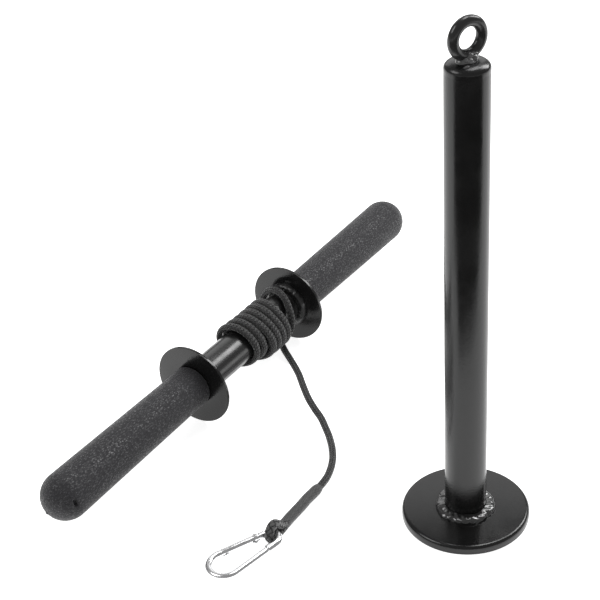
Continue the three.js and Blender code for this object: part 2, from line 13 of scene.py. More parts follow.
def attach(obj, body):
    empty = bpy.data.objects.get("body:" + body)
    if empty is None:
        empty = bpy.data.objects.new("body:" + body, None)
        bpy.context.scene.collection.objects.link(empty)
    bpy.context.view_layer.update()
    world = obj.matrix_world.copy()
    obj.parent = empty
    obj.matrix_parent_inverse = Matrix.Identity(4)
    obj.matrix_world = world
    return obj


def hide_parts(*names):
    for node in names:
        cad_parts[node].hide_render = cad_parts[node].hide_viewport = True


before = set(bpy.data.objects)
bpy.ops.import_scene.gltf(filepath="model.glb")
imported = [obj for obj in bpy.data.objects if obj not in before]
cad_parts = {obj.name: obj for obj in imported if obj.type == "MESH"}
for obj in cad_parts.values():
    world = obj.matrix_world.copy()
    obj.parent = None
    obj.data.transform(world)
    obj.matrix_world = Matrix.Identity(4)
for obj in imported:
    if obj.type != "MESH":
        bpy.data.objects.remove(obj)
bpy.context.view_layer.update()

MM = 0.001

# Roller: tube, flanges and their beads
BAR_Y = 112.1
BAR_Z = 30.0
TUBE_RADIUS = 12.7
TUBE_WALL = 2.0
TUBE_END_X = 205.6
TUBE_EDGE = 0.4
BORE_RADIUS = 13.0
FLANGE_RADIUS = 30.0
FLANGE_INNER_X = 58.6
FLANGE_OUTER_X = 60.6
FLANGE_EDGE = 0.25
FLANGE_BORE_EDGE = 0.3
FLANGE_BEAD_WIDTH = 4.4
FLANGE_BEAD_HEIGHT = 4.2
FLANGE_BEAD_RIPPLES = 22
FLANGE_BEAD_LUMP_SHARE = 0.07

# Foam grips
GRIP_ROOT_X = 60.9
GRIP_TIP_X = 214.6
GRIP_BORE_END_X = 205.9
GRIP_ROOT_RADIUS = 15.0
GRIP_TIP_RADIUS = 16.6
GRIP_DOME_LENGTH = 17.0
GRIP_ROOT_EDGE = 1.0
GRIP_BORE_EDGES = (0.5, 0.3)
GRIP_ROUND_STEPS = 256
GRIP_DOME_STEPS = 72

# Marks on the near grip's dome: angle up the dome, angle round it, half length
# up it, half length round it, and depth
GRIP_MARKS = [
    (radians(23.5), radians(164), 1.25, 2.2, 3.4),
    (radians(42), radians(151), 1.3, 1.3, 0.3),
    (radians(69.5), radians(303), 1.1, 1.1, -0.7),
]

# Cord: plain section, and what the turns round the tube do
CORD_RADIUS = 2.5
WINDING_TURNS = 7.25
WINDING_PITCH = 6.85
WINDING_START_X = -10.04
WINDING_START_RADIUS = 16.2
WINDING_RADIUS = 18.0
WINDING_START_OFFSET = -1.0
WINDING_OFFSET = 1.8
WINDING_HEAVY_ANGLE = radians(-45)
WINDING_HALF_WIDTH = 3.05
WINDING_HALF_HEIGHT = 1.9
CLIMB_TURNS = (1.0, 2.6)
LEAN_LENGTHS = (3.5, 0.6)
LEAN_TURNS = (2.0, 6.6)
BOW_LENGTH = 3.7
BOW_TURNS = (-0.5, 3.2)
SHIFT_LENGTH = 10.3
SHIFT_TURNS = (6.38, 6.76)
RETURN_LENGTH = 7.5
RETURN_TURNS = (6.9, 7.25)
LOOSE_RADIUS = 16.8
LOOSE_TURNS = (5.9, 6.6)
ROUND_TURNS = (5.9, 6.3)
UNDER_HALF_WIDTH = 3.3
UNDER_SEAT = 12.75
UNDER_CLEARANCE = 0.05
UNDER_TURNS = (0.3, 5.7)
FIRST_TURN = 0.2
TAIL_TURN = 7.13

# Free cord, its sleeve and its eye, about the roller's middle on the floor
LEAD_ROUTE = [
    (40.6, -5.2, 4.9), (36, -11.3, 3.8), (28, -22.8, 2.8), (18.5, -34.7, 2.6), (7.3, -46.2, 2.6),
    (-3.2, -57.4, 2.6), (-11.9, -68.6, 2.6), (-19.1, -78.9, 2.6), (-25.8, -86.4, 2.6),
    (-33.2, -94.3, 2.6), (-41.8, -102.1, 2.6), (-47.9, -106.7, 2.6), (-54, -110.6, 2.6),
    (-62.8, -114.7, 2.7), (-71.6, -117.6, 3), (-79, -118.9, 3.5), (-85.2, -119.4, 3.8),
]
SLEEVE_ROUTE = [
    (-85.5, -119.4, 3.8), (-92.5, -119.2, 3.8), (-99, -119, 3.8), (-106, -119.4, 3.8),
    (-114, -119.5, 3.8), (-120.7, -119.6, 3.8), (-128.8, -120.1, 3.8),
]
SLEEVE_RADIUS = 3.7
SLEEVE_MOUTH_SHARE = 0.86
SLEEVE_MOUTH_LENGTH = 3.0
SLEEVE_END_SHARE = 0.35
EYE_HALF_WIDTH = 3.2
EYE_HALF_HEIGHT = 1.7
EYE_FULL_HEIGHT = 2.7
EYE_LEG_HEIGHT = 2.3
EYE_OUTER_RADIUS = 8.0
EYE_FULL_ANGLES = (radians(-75), radians(10))
EYE_FLOOR_GAP = 0.1
EYE_UPPER_Z = 5.7
EYE_CENTRE_Z = 8.1
EYE_REACH = 12.6
EYE_TOP_ANGLE = radians(118)
EYE_TOP_HANDLE = 3.4
EYE_LEG_HANDLE = 3.4
EYE_LEG_STRAIGHT = 1.0
EYE_END_SHARE = 0.3
KNOT_X = 22.7
KNOT_HEIGHT = 36.2
KNOT_SCALE = 0.94
KNOT_CORD_RADIUS = 1.3

# Snap hook
HOOK_CONTACT = (-140.076, -8.693, 0)
HOOK_ORIGIN = (-140.521, -11.405, 6.246)
HOOK_HEADING = radians(157.9)
HOOK_TILT = radians(4.3138)
WIRE_RADIUS = 2.4
WIRE_END_SHARE = 0.25
HOOK_LENGTH = 49.8
HOOK_SMALL_RADIUS = 6.2
HOOK_BIG_RADIUS = 10.6
COLLAR_RADIUS = 3.15
COLLAR_START = (6.0, 8.0)
COLLAR_END = (28.2, 28.9)
GATE_RADIUS = 2.4
GATE_START = 4.2
GATE_NOSE_DISTANCE = 2.3
GATE_RIVET = 6.6
GATE_SLOT = 1.8
GATE_HINGE_SLOT_END = 9.3
GATE_NOSE_SLOT = 3.8
GATE_BORE_RADIUS = 1.3
GATE_BORE_END = 21.3
TONGUE_THICKNESS = 1.2
TONGUE_RADIUS = 1.9
NOSE_TONGUE = 3.3
RIVET_RADIUS = 0.8
RIVET_HEAD_RADIUS = 1.5
RIVET_HEAD_HEIGHT = 0.5
PLUNGER_RADIUS = 1.0
PLUNGER_ENDS = (8.8, 12.8)
SPRING_ENDS = (13.1, 21.0)
SPRING_WIRE = 0.2
SPRING_TURNS = 11
SPRING_END_SHARE = 0.2
SEAT_GAP = 0.3
GATE_EDGE = 0.5
PLUNGER_EDGE = 0.35
GATE_BORE_EDGE = 0.15
RIVET_HEAD_EDGE = 0.4
RIVET_SEAT_EDGE = 0.05

# Loading pin
PIN_X = -54.8
PIN_Y = -101.1
PLATE_RADIUS = 41.0
PLATE_THICKNESS = 6.0
PLATE_EDGE = 2.6
PLATE_FOOT_EDGE = 0.6
POST_RADIUS = 13.2
POST_WALL = 2.3
POST_TOP = 312.0
POST_EDGE = 0.06
CAP_TOP = 318.0
CAP_CROWN = 1.5
CAP_DOME_HEIGHT = 5.4
CAP_DOME_POWER = 2.4
CAP_SPIGOT = 8.0
BASE_BEAD_WIDTH = 5.8
BASE_BEAD_HEIGHT = 3.6
BASE_BEAD_RIPPLES = 17
BASE_BEAD_LUMP_SHARE = 0.1
RING_OUTER_RADIUS = 13.0
RING_WIRE = 3.3
RING_TURN = radians(-24)
RING_LIFT = 0.6
RING_WELD_MIDDLE = (-0.6, -1.4, 2.6)
RING_WELD_SINK = 0.1

# Drops of the ring's weld, about its middle in the ring's own frame
RING_DROPS = [
    ((0.4, 0.8, -2.6), 5.6), ((2.8, 1.0, 0.2), 4.1), ((-3.0, 1.0, -2.6), 4.2), ((5.0, 1.6, 2.2), 2.6),
    ((-0.8, -2.8, -0.8), 2.2), ((2.2, -2.4, 0.2), 2.3), ((0.4, -1.4, 1.6), 2.0), ((3.9, -1.2, 1.4), 2.0),
    ((0.6, 3.4, -0.8), 2.4), ((4.0, 3.0, 0), 2.3), ((-3.4, 3.0, -1.2), 2.0), ((-3.0, -1.6, 0), 1.7),
]

# Shape of a weld bead. Its ripples run on an angle that warps bend and that
# slants up the section, and fade in and out. Lumps and puckers ride on them.
# Warps and lumps are a strength, waves round the seam and a phase; a lump's last
# number is how its phase leans up the section.
BEAD_POWER = 0.8
BEAD_BACK_SHARE = 0.6
BEAD_WARPS = [(0.13, 3, 1.1), (0.06, 8, 0.3)]
BEAD_SLANT = 0.16
BEAD_RIPPLE_LEVEL = 0.6
BEAD_STEADY_SHARE = 0.55
BEAD_FADING_SHARE = 0.45
BEAD_FADE_WAVES = (2, 5)
BEAD_FADE_PHASE = 0.9
BEAD_LUMPS = [(0.5, 5, 0.7, 1), (0.35, 9, 2.1, -2)]
BEAD_PUCKER = 0.3
BEAD_PUCKER_WAVES = (23, 3, 4)

# Finishes: grains to the metre, reliefs in metres, stretches on X, Y and Z, the
# shares that make up a relief, and the fine threads on a braid's strand
GLOSS_PEEL, GLOSS_CLOUD, GLOSS_DEPTH = 420, 60, 0.00006
SATIN_PEEL, SATIN_CLOUD, SATIN_DEPTH = 900, 35, 0.00012
WELD_RIPPLE, WELD_PIT, WELD_PIT_SHARE = 210, 380, 0.3
FOAM_PEBBLE, FOAM_GRAIN, FOAM_CLOUD, FOAM_DEPTH = 980, 1600, 45, 0.0005
FOAM_STRETCH, FOAM_SHARES = (0.5, 1, 1), (0.5, 0.8, 0.2)
BRAID_SPECK, BRAID_THREADS, BRAID_THREAD_SLANT, BRAID_THREAD_SHARE = 1500, 24, 1.3, 0.16
PLATING_CLOUD, PLATING_GRAIN, PLATING_DEPTH = 180, 900, 0.00003
BRUSH_GRAIN, BRUSH_DEPTH, BRUSH_STRETCH = 700, 0.00004, (1, 1, 8)

# Finishes: tones or colours from dark to light, the roughness or coat that goes
# with them, and the band that most of a noise's values fill
GLOSS_TONES, GLOSS_ROUGHNESS, GLOSS_COAT = (0.007, 0.013), (0.22, 0.3), (0.3, 0.1)
SATIN_TONE_SHARES, SATIN_ROUGHNESS_STEPS = (0.75, 1.3), (-0.05, 0.06)
WELD_DARKEST = 0.006
FOAM_COLOURS = ((0.0095, 0.009, 0.0115, 1), (0.042, 0.0405, 0.046, 1))
FOAM_ROUGHNESS = (0.85, 0.4)
PLATING_COLOURS = ((0.74, 0.745, 0.75, 1), (0.88, 0.88, 0.89, 1))
PLATING_ROUGHNESS = (0.16, 0.26)
BRUSH_TONES, BRUSH_ROUGHNESS = (0.55, 0.72), (0.25, 0.42)
NOISE_BAND = (0.3, 0.7)

# Satin paint: tone and roughness
SATINS = {
    "flange_paint": ("satin_black_flange", 0.006, 0.19),
    "pin_paint": ("satin_black_pin", 0.006, 0.2),
    # The ring's tone is the pin's black paint made lighter, which is painted light.
    "ring_paint": ("satin_black_ring", 0.016, 0.21),
}

# Paint on welds: gloss, lightest tone, and relief
WELDS = {
    "weld_paint": ("gloss_painted_weld", 1.0, 0.03, 0.0007),
    # The ring's weld: the same black weld paint with a much lighter tone, which is painted highlight.
    "painted_light_weld": ("weld_paint_with_painted_light", 1.0, 0.14, 0.0004),
    # The flange beads: the same paint, duller, with a darker tone, which is painted shade.
    "dull_weld": ("dull_painted_weld", 0.3, 0.016, 0.0007),
}

# Braid: picks round it, a pick's length in millimetres, relief, darkest and
# lightest tone, and roughness
BRAIDS = {
    "cord": ("black_braid", 8, 2.6, 0.0007, 0.0008, 0.026, 0.6),
    "sleeve": ("grey_sleeve", 14, 1.6, 0.00015, 0.018, 0.1, 0.5),
    "eye": ("coarse_braid", 5, 3.4, 0.0009, 0.006, 0.09, 0.62),
}

# Camera of the photograph, in metres, with its lens in millimetres
CAMERA_PLACE = (-0.7486, -0.4736, 0.6759)
CAMERA_LOOK = (0.6849, 0.4869, -0.5422)
CAMERA_LEVEL = (0.5794, -0.8150, 0)
CAMERA_ROLL = -0.064
CAMERA_LENS = 94.53
CAMERA_SENSOR = 36
CAMERA_NEAR = 0.05

# Studio, in metres and watts: each softbox has a direction, a distance, its
# width and height, and its power
ROOM_LIGHT = 0.3
FLOOR_GLOW = 0.84
FLOOR_TONE = 0.9
FLOOR_REACH = 6.0
SOFTBOXES = {
    "back_right_box": ((0.685, -0.33, 0.65), 1.5, 0.5, 0.8, 11),
    "back_box": ((0.7, 0.51, 0.5), 2.0, 2.0, 1.0, 6.3),
    "front_left_box": ((-0.6, 0.5, 0.8), 1.6, 0.75, 0.75, 7),
    "top_box": ((0.33, -0.02, 0.94), 1.8, 0.8, 0.8, 13),
}
SOFTBOX_AIM = (0, 0.03, 0.1)
CARD_HEIGHT = 0.0004
CARD_TONE = 0.01

# Cards: corners by distance and degrees round the pin, and corners by x and y
FRONT_CARD = [
    (0.24, 172), (0.25, 208), (0.27, 238), (0.36, 268), (0.6, 288), (2.5, 280), (2.5, 208), (2.5, 145),
    (0.48, 145), (0.37, 160),
]
UNDER_CARD = [(-0.22, 0.02), (0.22, 0.02), (0.22, 0.092), (-0.22, 0.092)]
UNDER_CARD_GLOW = 0.5

# Fineness
ROUND_STEPS = 128
SMALL_STEPS = 48
FILLET_STEPS = 6
ROUTE_STEPS = 8
LEG_STEPS = 12
TONGUE_STEPS = 24
WIRE_STEP = 0.4
CORD_SIDES = 24
SPRING_SIDES = 8
SPRING_STEPS_PER_TURN = 24
CAP_STEPS = 5
BEAD_ROUND_STEPS = 512
BEAD_SECTION_STEPS = 16
STATIONS_PER_TURN = 72
SHARP_ANGLE = radians(38)
BEAD_SHARP_ANGLE = radians(60)
DROPS_SHARP_ANGLE = radians(75)


def ease(value, start, end):
    """Smooth step: t squared times (3 - 2t), t the clamped share of the way."""
    share = np.clip((np.asarray(value) - start) / (end - start), 0, 1)
    return share * share * (3 - 2 * share)


def mix(first, second, share):
    return first + (second - first) * share


def spun(points, angle):
    """Points turned by an angle about the upright axis."""
    c, s = cos(angle), sin(angle)
    return points @ np.array([[c, s, 0], [-s, c, 0], [0, 0, 1.0]])


def unit(vectors):
    return vectors / np.linalg.norm(vectors, axis=-1, keepdims=True)


def stacked(*parts):
    """Points from their coordinates, given as arrays that fit together."""
    return np.stack(np.broadcast_arrays(*parts), axis=-1)


def round_angles(count):
    return 2 * pi * np.arange(count) / count


def cubic(begin, leave, end, arrive, t):
    """Cubic from begin to end with slopes leave and arrive: their weights are
    2t^3 - 3t^2 + 1, 3t^2 - 2t^3, t^3 - 2t^2 + t and t^3 - t^2."""
    return (
        (2 * t**3 - 3 * t**2 + 1) * begin + (t**3 - 2 * t**2 + t) * leave
        + (3 * t**2 - 2 * t**3) * end + (t**3 - t**2) * arrive
    )


def spline(points):
    """Centripetal Catmull-Rom curve: each span is a cubic whose end slopes come
    from its neighbours, weighed by the square root of the spans' lengths."""
    at = np.asarray(points, float)
    at = np.vstack([2 * at[0] - at[1], at, 2 * at[-1] - at[-2]])
    span = np.sqrt(np.linalg.norm(np.diff(at, axis=0), axis=1))[:, None]
    before, here, there, after = at[:-3], at[1:-2], at[2:-1], at[3:]
    d0, d1, d2 = span[:-2], span[1:-1], span[2:]
    leave = ((here - before) / d0 - (there - before) / (d0 + d1) + (there - here) / d1) * d1
    reach = ((there - here) / d1 - (after - here) / (d1 + d2) + (after - there) / d2) * d1
    t = (np.arange(ROUTE_STEPS) / ROUTE_STEPS)[None, :, None]
    curve = cubic(here[:, None], leave[:, None], there[:, None], reach[:, None], t)
    return np.vstack([curve.reshape(-1, 3), at[-2]])


def lengths(path):
    """Running length of a path at each of its points."""
    return np.concatenate([[0], np.cumsum(np.linalg.norm(np.diff(path, axis=0), axis=1))])


def placed(name, data):
    """A new object with this data, in the scene."""
    made = bpy.data.objects.new(name, data)
    bpy.context.scene.collection.objects.link(made)
    return made


def smooth(mesh, cracks=SHARP_ANGLE):
    """Smooth shading, but for edges sharper than an angle."""
    mesh.polygons.foreach_set("use_smooth", np.ones(len(mesh.polygons), bool))
    mesh.set_sharp_from_angle(angle=cracks)


def skin(name, points, round_rows=False, along=None, cracks=SHARP_ANGLE):
    """Closed mesh over points[row, column]. Columns close round each row. Rows
    close too, or else the first and last row are poles. UV is the share of the
    way round, and the given length along."""
    rows, columns = points.shape[:2]
    index = np.arange(rows * columns).reshape(rows, columns)
    if not round_rows:
        index[0] = index[0, 0]
        index[-1] = index[-1, 0]
    used, place = np.unique(index, return_inverse=True)
    index = place.reshape(rows, columns)
    vertices = points.reshape(-1, 3)[used] * MM
    across = np.arange(columns + 1) / columns
    along = np.arange(rows) if along is None else along
    if round_rows:
        index = np.vstack([index, index[:1]])
        along = np.append(along, 2 * along[-1] - along[-2])
    index = np.hstack([index, index[:, :1]])
    place_uv = stacked(across[None, :], along[:, None])

    def corners(grid):
        low, high = grid[:-1], grid[1:]
        return np.stack([low[:, :-1], low[:, 1:], high[:, 1:], high[:, :-1]], axis=2)

    faces, face_uv = corners(index), corners(place_uv)
    inner = slice(None) if round_rows else slice(1, -1)
    quads = faces[inner].reshape(-1, 4)
    quad_uv = face_uv[inner].reshape(-1, 4, 2)
    fans, fan_uv = np.empty((0, 3), int), np.empty((0, 3, 2))
    if not round_rows:
        fans = np.vstack([faces[0][:, [0, 2, 3]], faces[-1][:, [0, 1, 2]]])
        fan_uv = np.vstack([face_uv[0][:, [0, 2, 3]], face_uv[-1][:, [0, 1, 2]]])
    triangles = np.vstack([quads[:, [0, 1, 2]], quads[:, [0, 2, 3]], fans])
    a, b, c = (vertices[triangles[:, k]] for k in range(3))
    if (a * np.cross(b, c)).sum() < 0:
        quads, quad_uv, fans, fan_uv = quads[:, ::-1], quad_uv[:, ::-1], fans[:, ::-1], fan_uv[:, ::-1]
    mesh = bpy.data.meshes.new(name)
    mesh.from_pydata(vertices, [], quads.tolist() + fans.tolist())
    layer = mesh.uv_layers.new(name="surface")
    layer.data.foreach_set("uv", np.concatenate([quad_uv.ravel(), fan_uv.ravel()]))
    smooth(mesh, cracks)
    return placed(name, mesh)


def filleted(corners):
    """Closed or open outline through (radius, along, fillet) corners, each
    rounded by an arc of its fillet that touches both sides."""
    at = np.array(corners, float)[:, :2]
    points = []
    for i, (*_, fillet) in enumerate(corners):
        corner = at[i]
        if fillet == 0:
            points.append(corner)
            continue
        back, ahead = unit(at[i - 1] - corner), unit(at[(i + 1) % len(at)] - corner)
        half = np.arccos(np.clip(back @ ahead, -1, 1)) / 2
        middle = corner + unit(back + ahead) * fillet / sin(half)
        first = corner + back * fillet / np.tan(half) - middle
        last = corner + ahead * fillet / np.tan(half) - middle
        turn = pi - 2 * half
        for share in np.arange(FILLET_STEPS + 1) / FILLET_STEPS:
            points.append(middle + (sin((1 - share) * turn) * first + sin(share * turn) * last) / sin(turn))
    return np.array(points)


def turned(profile, centre, along_x=False, steps=ROUND_STEPS):
    """A profile of (radius, along) turned about X or Z through the centre:
    the radius times cosine and sine of the angle, and the way along."""
    angle = round_angles(steps)
    radius, along = profile[:, :1], profile[:, 1:]
    first, second = radius * np.cos(angle), radius * np.sin(angle)
    order = (along, first, second) if along_x else (first, second, along)
    return stacked(*order) + centre


def swept(path, outward, half_width, half_height, sides=CORD_SIDES, cap_share=1.0):
    """An ellipse carried along a path. At each station the outward direction is
    made square to the path, and the side is their cross product. The ends close
    in domes, whose length is the half height times the cap's share."""
    heading = unit(np.gradient(path, axis=0))
    side = unit(np.cross(heading, outward))
    up = np.cross(side, heading)
    half_width = np.broadcast_to(half_width, len(path))[:, None, None]
    half_height = np.broadcast_to(half_height, len(path))[:, None, None]
    angle = round_angles(sides)[None, :, None]
    ring = side[:, None] * half_width * np.cos(angle) + up[:, None] * half_height * np.sin(angle)
    rows = path[:, None] + ring
    dome = (pi / 2 * np.arange(1, CAP_STEPS + 1) / CAP_STEPS)[:, None, None]
    reach = np.sin(dome) * cap_share
    first = path[0] - heading[0] * reach * half_height[0] + ring[0] * np.cos(dome)
    last = path[-1] + heading[-1] * reach * half_height[-1] + ring[-1] * np.cos(dome)
    along, climb = lengths(path), np.sin(dome[:, 0, 0])
    before, after = -half_height[0, 0, 0] * climb[::-1], along[-1] + half_height[-1, 0, 0] * climb
    return np.concatenate([first[::-1], rows, last]), np.concatenate([before, along, after])


class Value:
    """A shader socket. Arithmetic on it adds Math nodes to its material."""

    def __init__(self, finish, socket):
        self.finish = finish
        self.socket = socket

    def maths(self, operation, *others):
        values = dict(enumerate((self, *others)))
        return self.finish.node("ShaderNodeMath", {"operation": operation}, values)

    def __add__(self, other):
        return self.maths("ADD", other)

    def __sub__(self, other):
        return self.maths("SUBTRACT", other)

    def __rsub__(self, other):
        return (self * -1) + other

    def __mul__(self, other):
        return self.maths("MULTIPLY", other)

    def __truediv__(self, other):
        return self.maths("DIVIDE", other)


class Finish:
    """A material with one Principled shader. feed() puts numbers or sockets on
    it, and node() adds any other node: its settings first, then its sockets."""

    def __init__(self, name, **constants):
        self.material = bpy.data.materials.new(name)
        self.material.use_nodes = True
        self.tree = self.material.node_tree
        self.shader = self.tree.nodes["Principled BSDF"]
        self.feed(**constants)

    def node(self, kind, settings, sockets, output=0):
        made = self.tree.nodes.new(kind)
        for key, value in settings.items():
            setattr(made, key, value)
        for key, value in sockets.items():
            self.join(made.inputs[key], value)
        return Value(self, made.outputs[output])

    def join(self, socket, value):
        if isinstance(value, Value):
            self.tree.links.new(value.socket, socket)
        else:
            socket.default_value = value

    def feed(self, **values):
        for key, value in values.items():
            self.join(self.shader.inputs[key.replace("_", " ").title().replace("Ior", "IOR")], value)

    def place(self, scale=(1, 1, 1)):
        """Object coordinates, stretched by a scale on each axis."""
        here = self.node("ShaderNodeTexCoord", {}, {}, "Object")
        return self.node("ShaderNodeMapping", {}, {"Vector": here, "Scale": scale})

    def noise(self, vector, scale, detail, roughness=0.5):
        sockets = {"Vector": vector, "Scale": scale, "Detail": detail, "Roughness": roughness}
        return self.node("ShaderNodeTexNoise", {}, sockets)

    def pebbles(self, vector, scale, smoothness):
        sockets = {"Vector": vector, "Scale": scale, "Smoothness": smoothness}
        return self.node("ShaderNodeTexVoronoi", {"feature": "SMOOTH_F1"}, sockets)

    def between(self, value, low, high, out_low=0.0, out_high=1.0):
        """The value's share of the way from low to high, clamped, on a new range."""
        sockets = {"Value": value, "From Min": low, "From Max": high, "To Min": out_low, "To Max": out_high}
        return self.node("ShaderNodeMapRange", {"interpolation_type": "SMOOTHSTEP"}, sockets)

    def blend(self, share, first, second):
        """Mix of two colours by a share. A Mix node has its colours on 6, 7 and 2."""
        return self.node("ShaderNodeMix", {"data_type": "RGBA"}, {0: share, 6: first, 7: second}, 2)

    def shade(self, share, dark, light):
        """Grey from a dark to a light tone by a share."""
        return self.blend(share, grey(dark), grey(light))

    def bump(self, height, distance, strength):
        sockets = {"Height": height, "Distance": distance, "Strength": strength}
        return self.node("ShaderNodeBump", {}, sockets)


def grey(level):
    return (level, level, level, 1)


def gloss_paint():
    """Black gloss enamel with a faint orange peel and dust-fine dulling."""
    finish = Finish("gloss_black_enamel", specular_ior_level=0.5, coat_roughness=0.2)
    here = finish.place()
    peel = finish.noise(here, GLOSS_PEEL, 2)
    cloud = finish.noise(here, GLOSS_CLOUD, 4, 0.6)
    finish.feed(
        base_color=finish.shade(cloud, *GLOSS_TONES),
        roughness=finish.between(cloud, 0.3, 0.75, *GLOSS_ROUGHNESS),
        coat_weight=finish.between(cloud, 0.35, 0.7, *GLOSS_COAT),
        normal=finish.bump(peel, GLOSS_DEPTH, 0.5),
    )
    return finish.material


def satin_paint(name, base, roughness):
    """Black powder coat: fine orange peel, and a slightly uneven satin."""
    finish = Finish(name, specular_ior_level=0.45)
    here = finish.place()
    peel = finish.noise(here, SATIN_PEEL, 2, 0.6)
    cloud = finish.noise(here, SATIN_CLOUD, 5, 0.6)
    dark, light = SATIN_TONE_SHARES
    smoother, rougher = SATIN_ROUGHNESS_STEPS
    finish.feed(
        base_color=finish.shade(cloud, base * dark, base * light),
        roughness=finish.between(cloud, *NOISE_BAND, roughness + smoother, roughness + rougher),
        normal=finish.bump(peel, SATIN_DEPTH, 0.55),
    )
    return finish.material


def weld_paint(name, gloss, light, depth):
    """Black paint over a weld bead: small ripples and drips under the paint."""
    finish = Finish(name, specular_ior_level=0.35 + 0.25 * gloss, coat_roughness=0.07)
    here = finish.place()
    ripple = finish.noise(here, WELD_RIPPLE, 2)
    pit = finish.pebbles(here, WELD_PIT, 0.7)
    finish.feed(
        base_color=finish.shade(ripple, WELD_DARKEST, light),
        roughness=finish.between(pit, 0.1, 0.7, 0.3 - 0.18 * gloss, 0.42 - 0.2 * gloss),
        coat_weight=finish.between(ripple, *NOISE_BAND, gloss, 0.7 * gloss),
        normal=finish.bump(ripple + pit * WELD_PIT_SHARE, depth, 0.6),
    )
    return finish.material


def foam():
    """Closed-cell foam skin: pebbles drawn out along the grip, paler on their tops and dark in the pores
    between them, which is painted highlight and painted shade that follow the relief over a faint random
    cloud. The tops take a thin glossy coat that glints."""
    finish = Finish("grey_foam", sheen_weight=0.2, sheen_roughness=0.5, coat_roughness=0.3)
    fine = finish.place(FOAM_STRETCH)
    pebble = finish.pebbles(fine, FOAM_PEBBLE, 0.3)
    grain = finish.noise(fine, FOAM_GRAIN, 3, 0.6)
    cloud = finish.noise(finish.place(), FOAM_CLOUD, 4, 0.6)
    pebble_share, grain_share, cloud_share = FOAM_SHARES
    relief = (1 - pebble) * pebble_share + grain * grain_share
    relief_and_cloud = relief + cloud * cloud_share
    finish.feed(
        # Base colour: painted highlight on the pebble tops and painted shade in the pores, after the
        # relief, plus the random cloud.
        base_color=finish.blend(finish.between(relief_and_cloud, 0.72, 1.2), *FOAM_COLOURS),
        roughness=finish.between(relief, 0.5, 1.0, *FOAM_ROUGHNESS),
        coat_weight=finish.between(relief_and_cloud, 0.82, 1.06),
        normal=finish.bump(relief, FOAM_DEPTH, 0.85),
    )
    return finish.material


def braid(name, picks_round, pick_length, depth, dark, light, roughness):
    """Braided cord on its own UV. Two families of picks cross: the shares of
    the way round plus and minus the length along, each cut into strands. A
    checker of the two says which strand lies on top, and a strand's height is
    a parabola across it. Fine threads run along each strand."""
    finish = Finish(name, specular_ior_level=0.35, sheen_weight=0.35, sheen_roughness=0.4)
    here = finish.node("ShaderNodeUVMap", {"uv_map": "surface"}, {})
    parts = finish.node("ShaderNodeSeparateXYZ", {}, {"Vector": here})
    across = parts * picks_round
    along = Value(finish, parts.socket.node.outputs[1]) / pick_length
    left, right = across + along, across - along
    over = (left.maths("FLOOR") + right.maths("FLOOR")).maths("FLOORED_MODULO", 2)
    across_left = left.maths("FRACT") - 0.5
    across_right = right.maths("FRACT") - 0.5
    chosen = across_left * over + across_right * (1 - over)
    run = right * over + left * (1 - over)
    height = 1 - chosen * chosen * 4
    thread = (chosen * BRAID_THREADS + run * BRAID_THREAD_SLANT).maths("SINE") * 0.5 + 0.5
    speck = finish.noise(finish.place(), BRAID_SPECK, 3, 0.6)
    relief = height + thread * BRAID_THREAD_SHARE
    # Tone follows the strand's height: darker towards its edges, which is painted shade in the grooves
    # between strands, with random specks over it.
    tone = finish.between(height + (speck - 0.5) * 0.9, 0.25, 1.15)
    finish.feed(
        base_color=finish.shade(tone, dark, light),
        roughness=finish.between(height, 0.0, 1.0, 0.95, roughness),
        normal=finish.bump(relief, depth, 0.9),
    )
    return finish.material


def plating():
    """Bright plated steel: a soft mirror, with faint cloudy dulling."""
    finish = Finish("bright_plating", metallic=1.0)
    here = finish.place()
    cloud = finish.noise(here, PLATING_CLOUD, 4, 0.6)
    fine = finish.noise(here, PLATING_GRAIN, 2)
    finish.feed(
        base_color=finish.blend(cloud, *PLATING_COLOURS),
        roughness=finish.between(cloud, *NOISE_BAND, *PLATING_ROUGHNESS),
        normal=finish.bump(fine, PLATING_DEPTH, 0.4),
    )
    return finish.material


def rivet_steel():
    """Plain steel, brushed fine."""
    finish = Finish("rivet_steel", metallic=1.0)
    streak = finish.noise(finish.place(BRUSH_STRETCH), BRUSH_GRAIN, 3)
    finish.feed(
        base_color=finish.shade(streak, *BRUSH_TONES),
        roughness=finish.between(streak, *NOISE_BAND, *BRUSH_ROUGHNESS),
        normal=finish.bump(streak, BRUSH_DEPTH, 0.4),
    )
    return finish.material


FINISHES = {
    "roller_paint": gloss_paint(),
    "foam": foam(),
    "plating": plating(),
    "rivet_steel": rivet_steel(),
    **{slot: satin_paint(*numbers) for slot, numbers in SATINS.items()},
    **{slot: weld_paint(*numbers) for slot, numbers in WELDS.items()},
    **{slot: braid(*numbers) for slot, numbers in BRAIDS.items()},
}


def finished(piece, body, slot, *nodes, material=None):
    """Puts a piece on its body, in its finish, in place of its model nodes."""
    piece.data.materials.append(FINISHES[material or slot])
    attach(piece, body)
    if nodes:
        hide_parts(*nodes)
    return piece


def from_middle(route):
    """A route about the roller's middle on the floor, in the model's frame."""
    return np.asarray(route, float) + (0, BAR_Y, 0)


def winding_angle(turn):
    return pi * (2 * turn - 1)


def heavy_side(turn):
    return np.cos(winding_angle(turn) - WINDING_HEAVY_ANGLE)


def winding_advance(turn):
    """Pitch times turns, plus a lean and a bow towards the heavy side, plus the
    last turn's shift away from the others and its way back."""
    side = heavy_side(turn)
    lean = mix(*LEAN_LENGTHS, ease(turn, *LEAN_TURNS))
    bow = BOW_LENGTH * ease(turn, *BOW_TURNS)
    shift = SHIFT_LENGTH * ease(turn, *SHIFT_TURNS)
    back = RETURN_LENGTH * ease(turn, *RETURN_TURNS)
    return WINDING_PITCH * turn + lean * side + bow * side**2 + shift - back


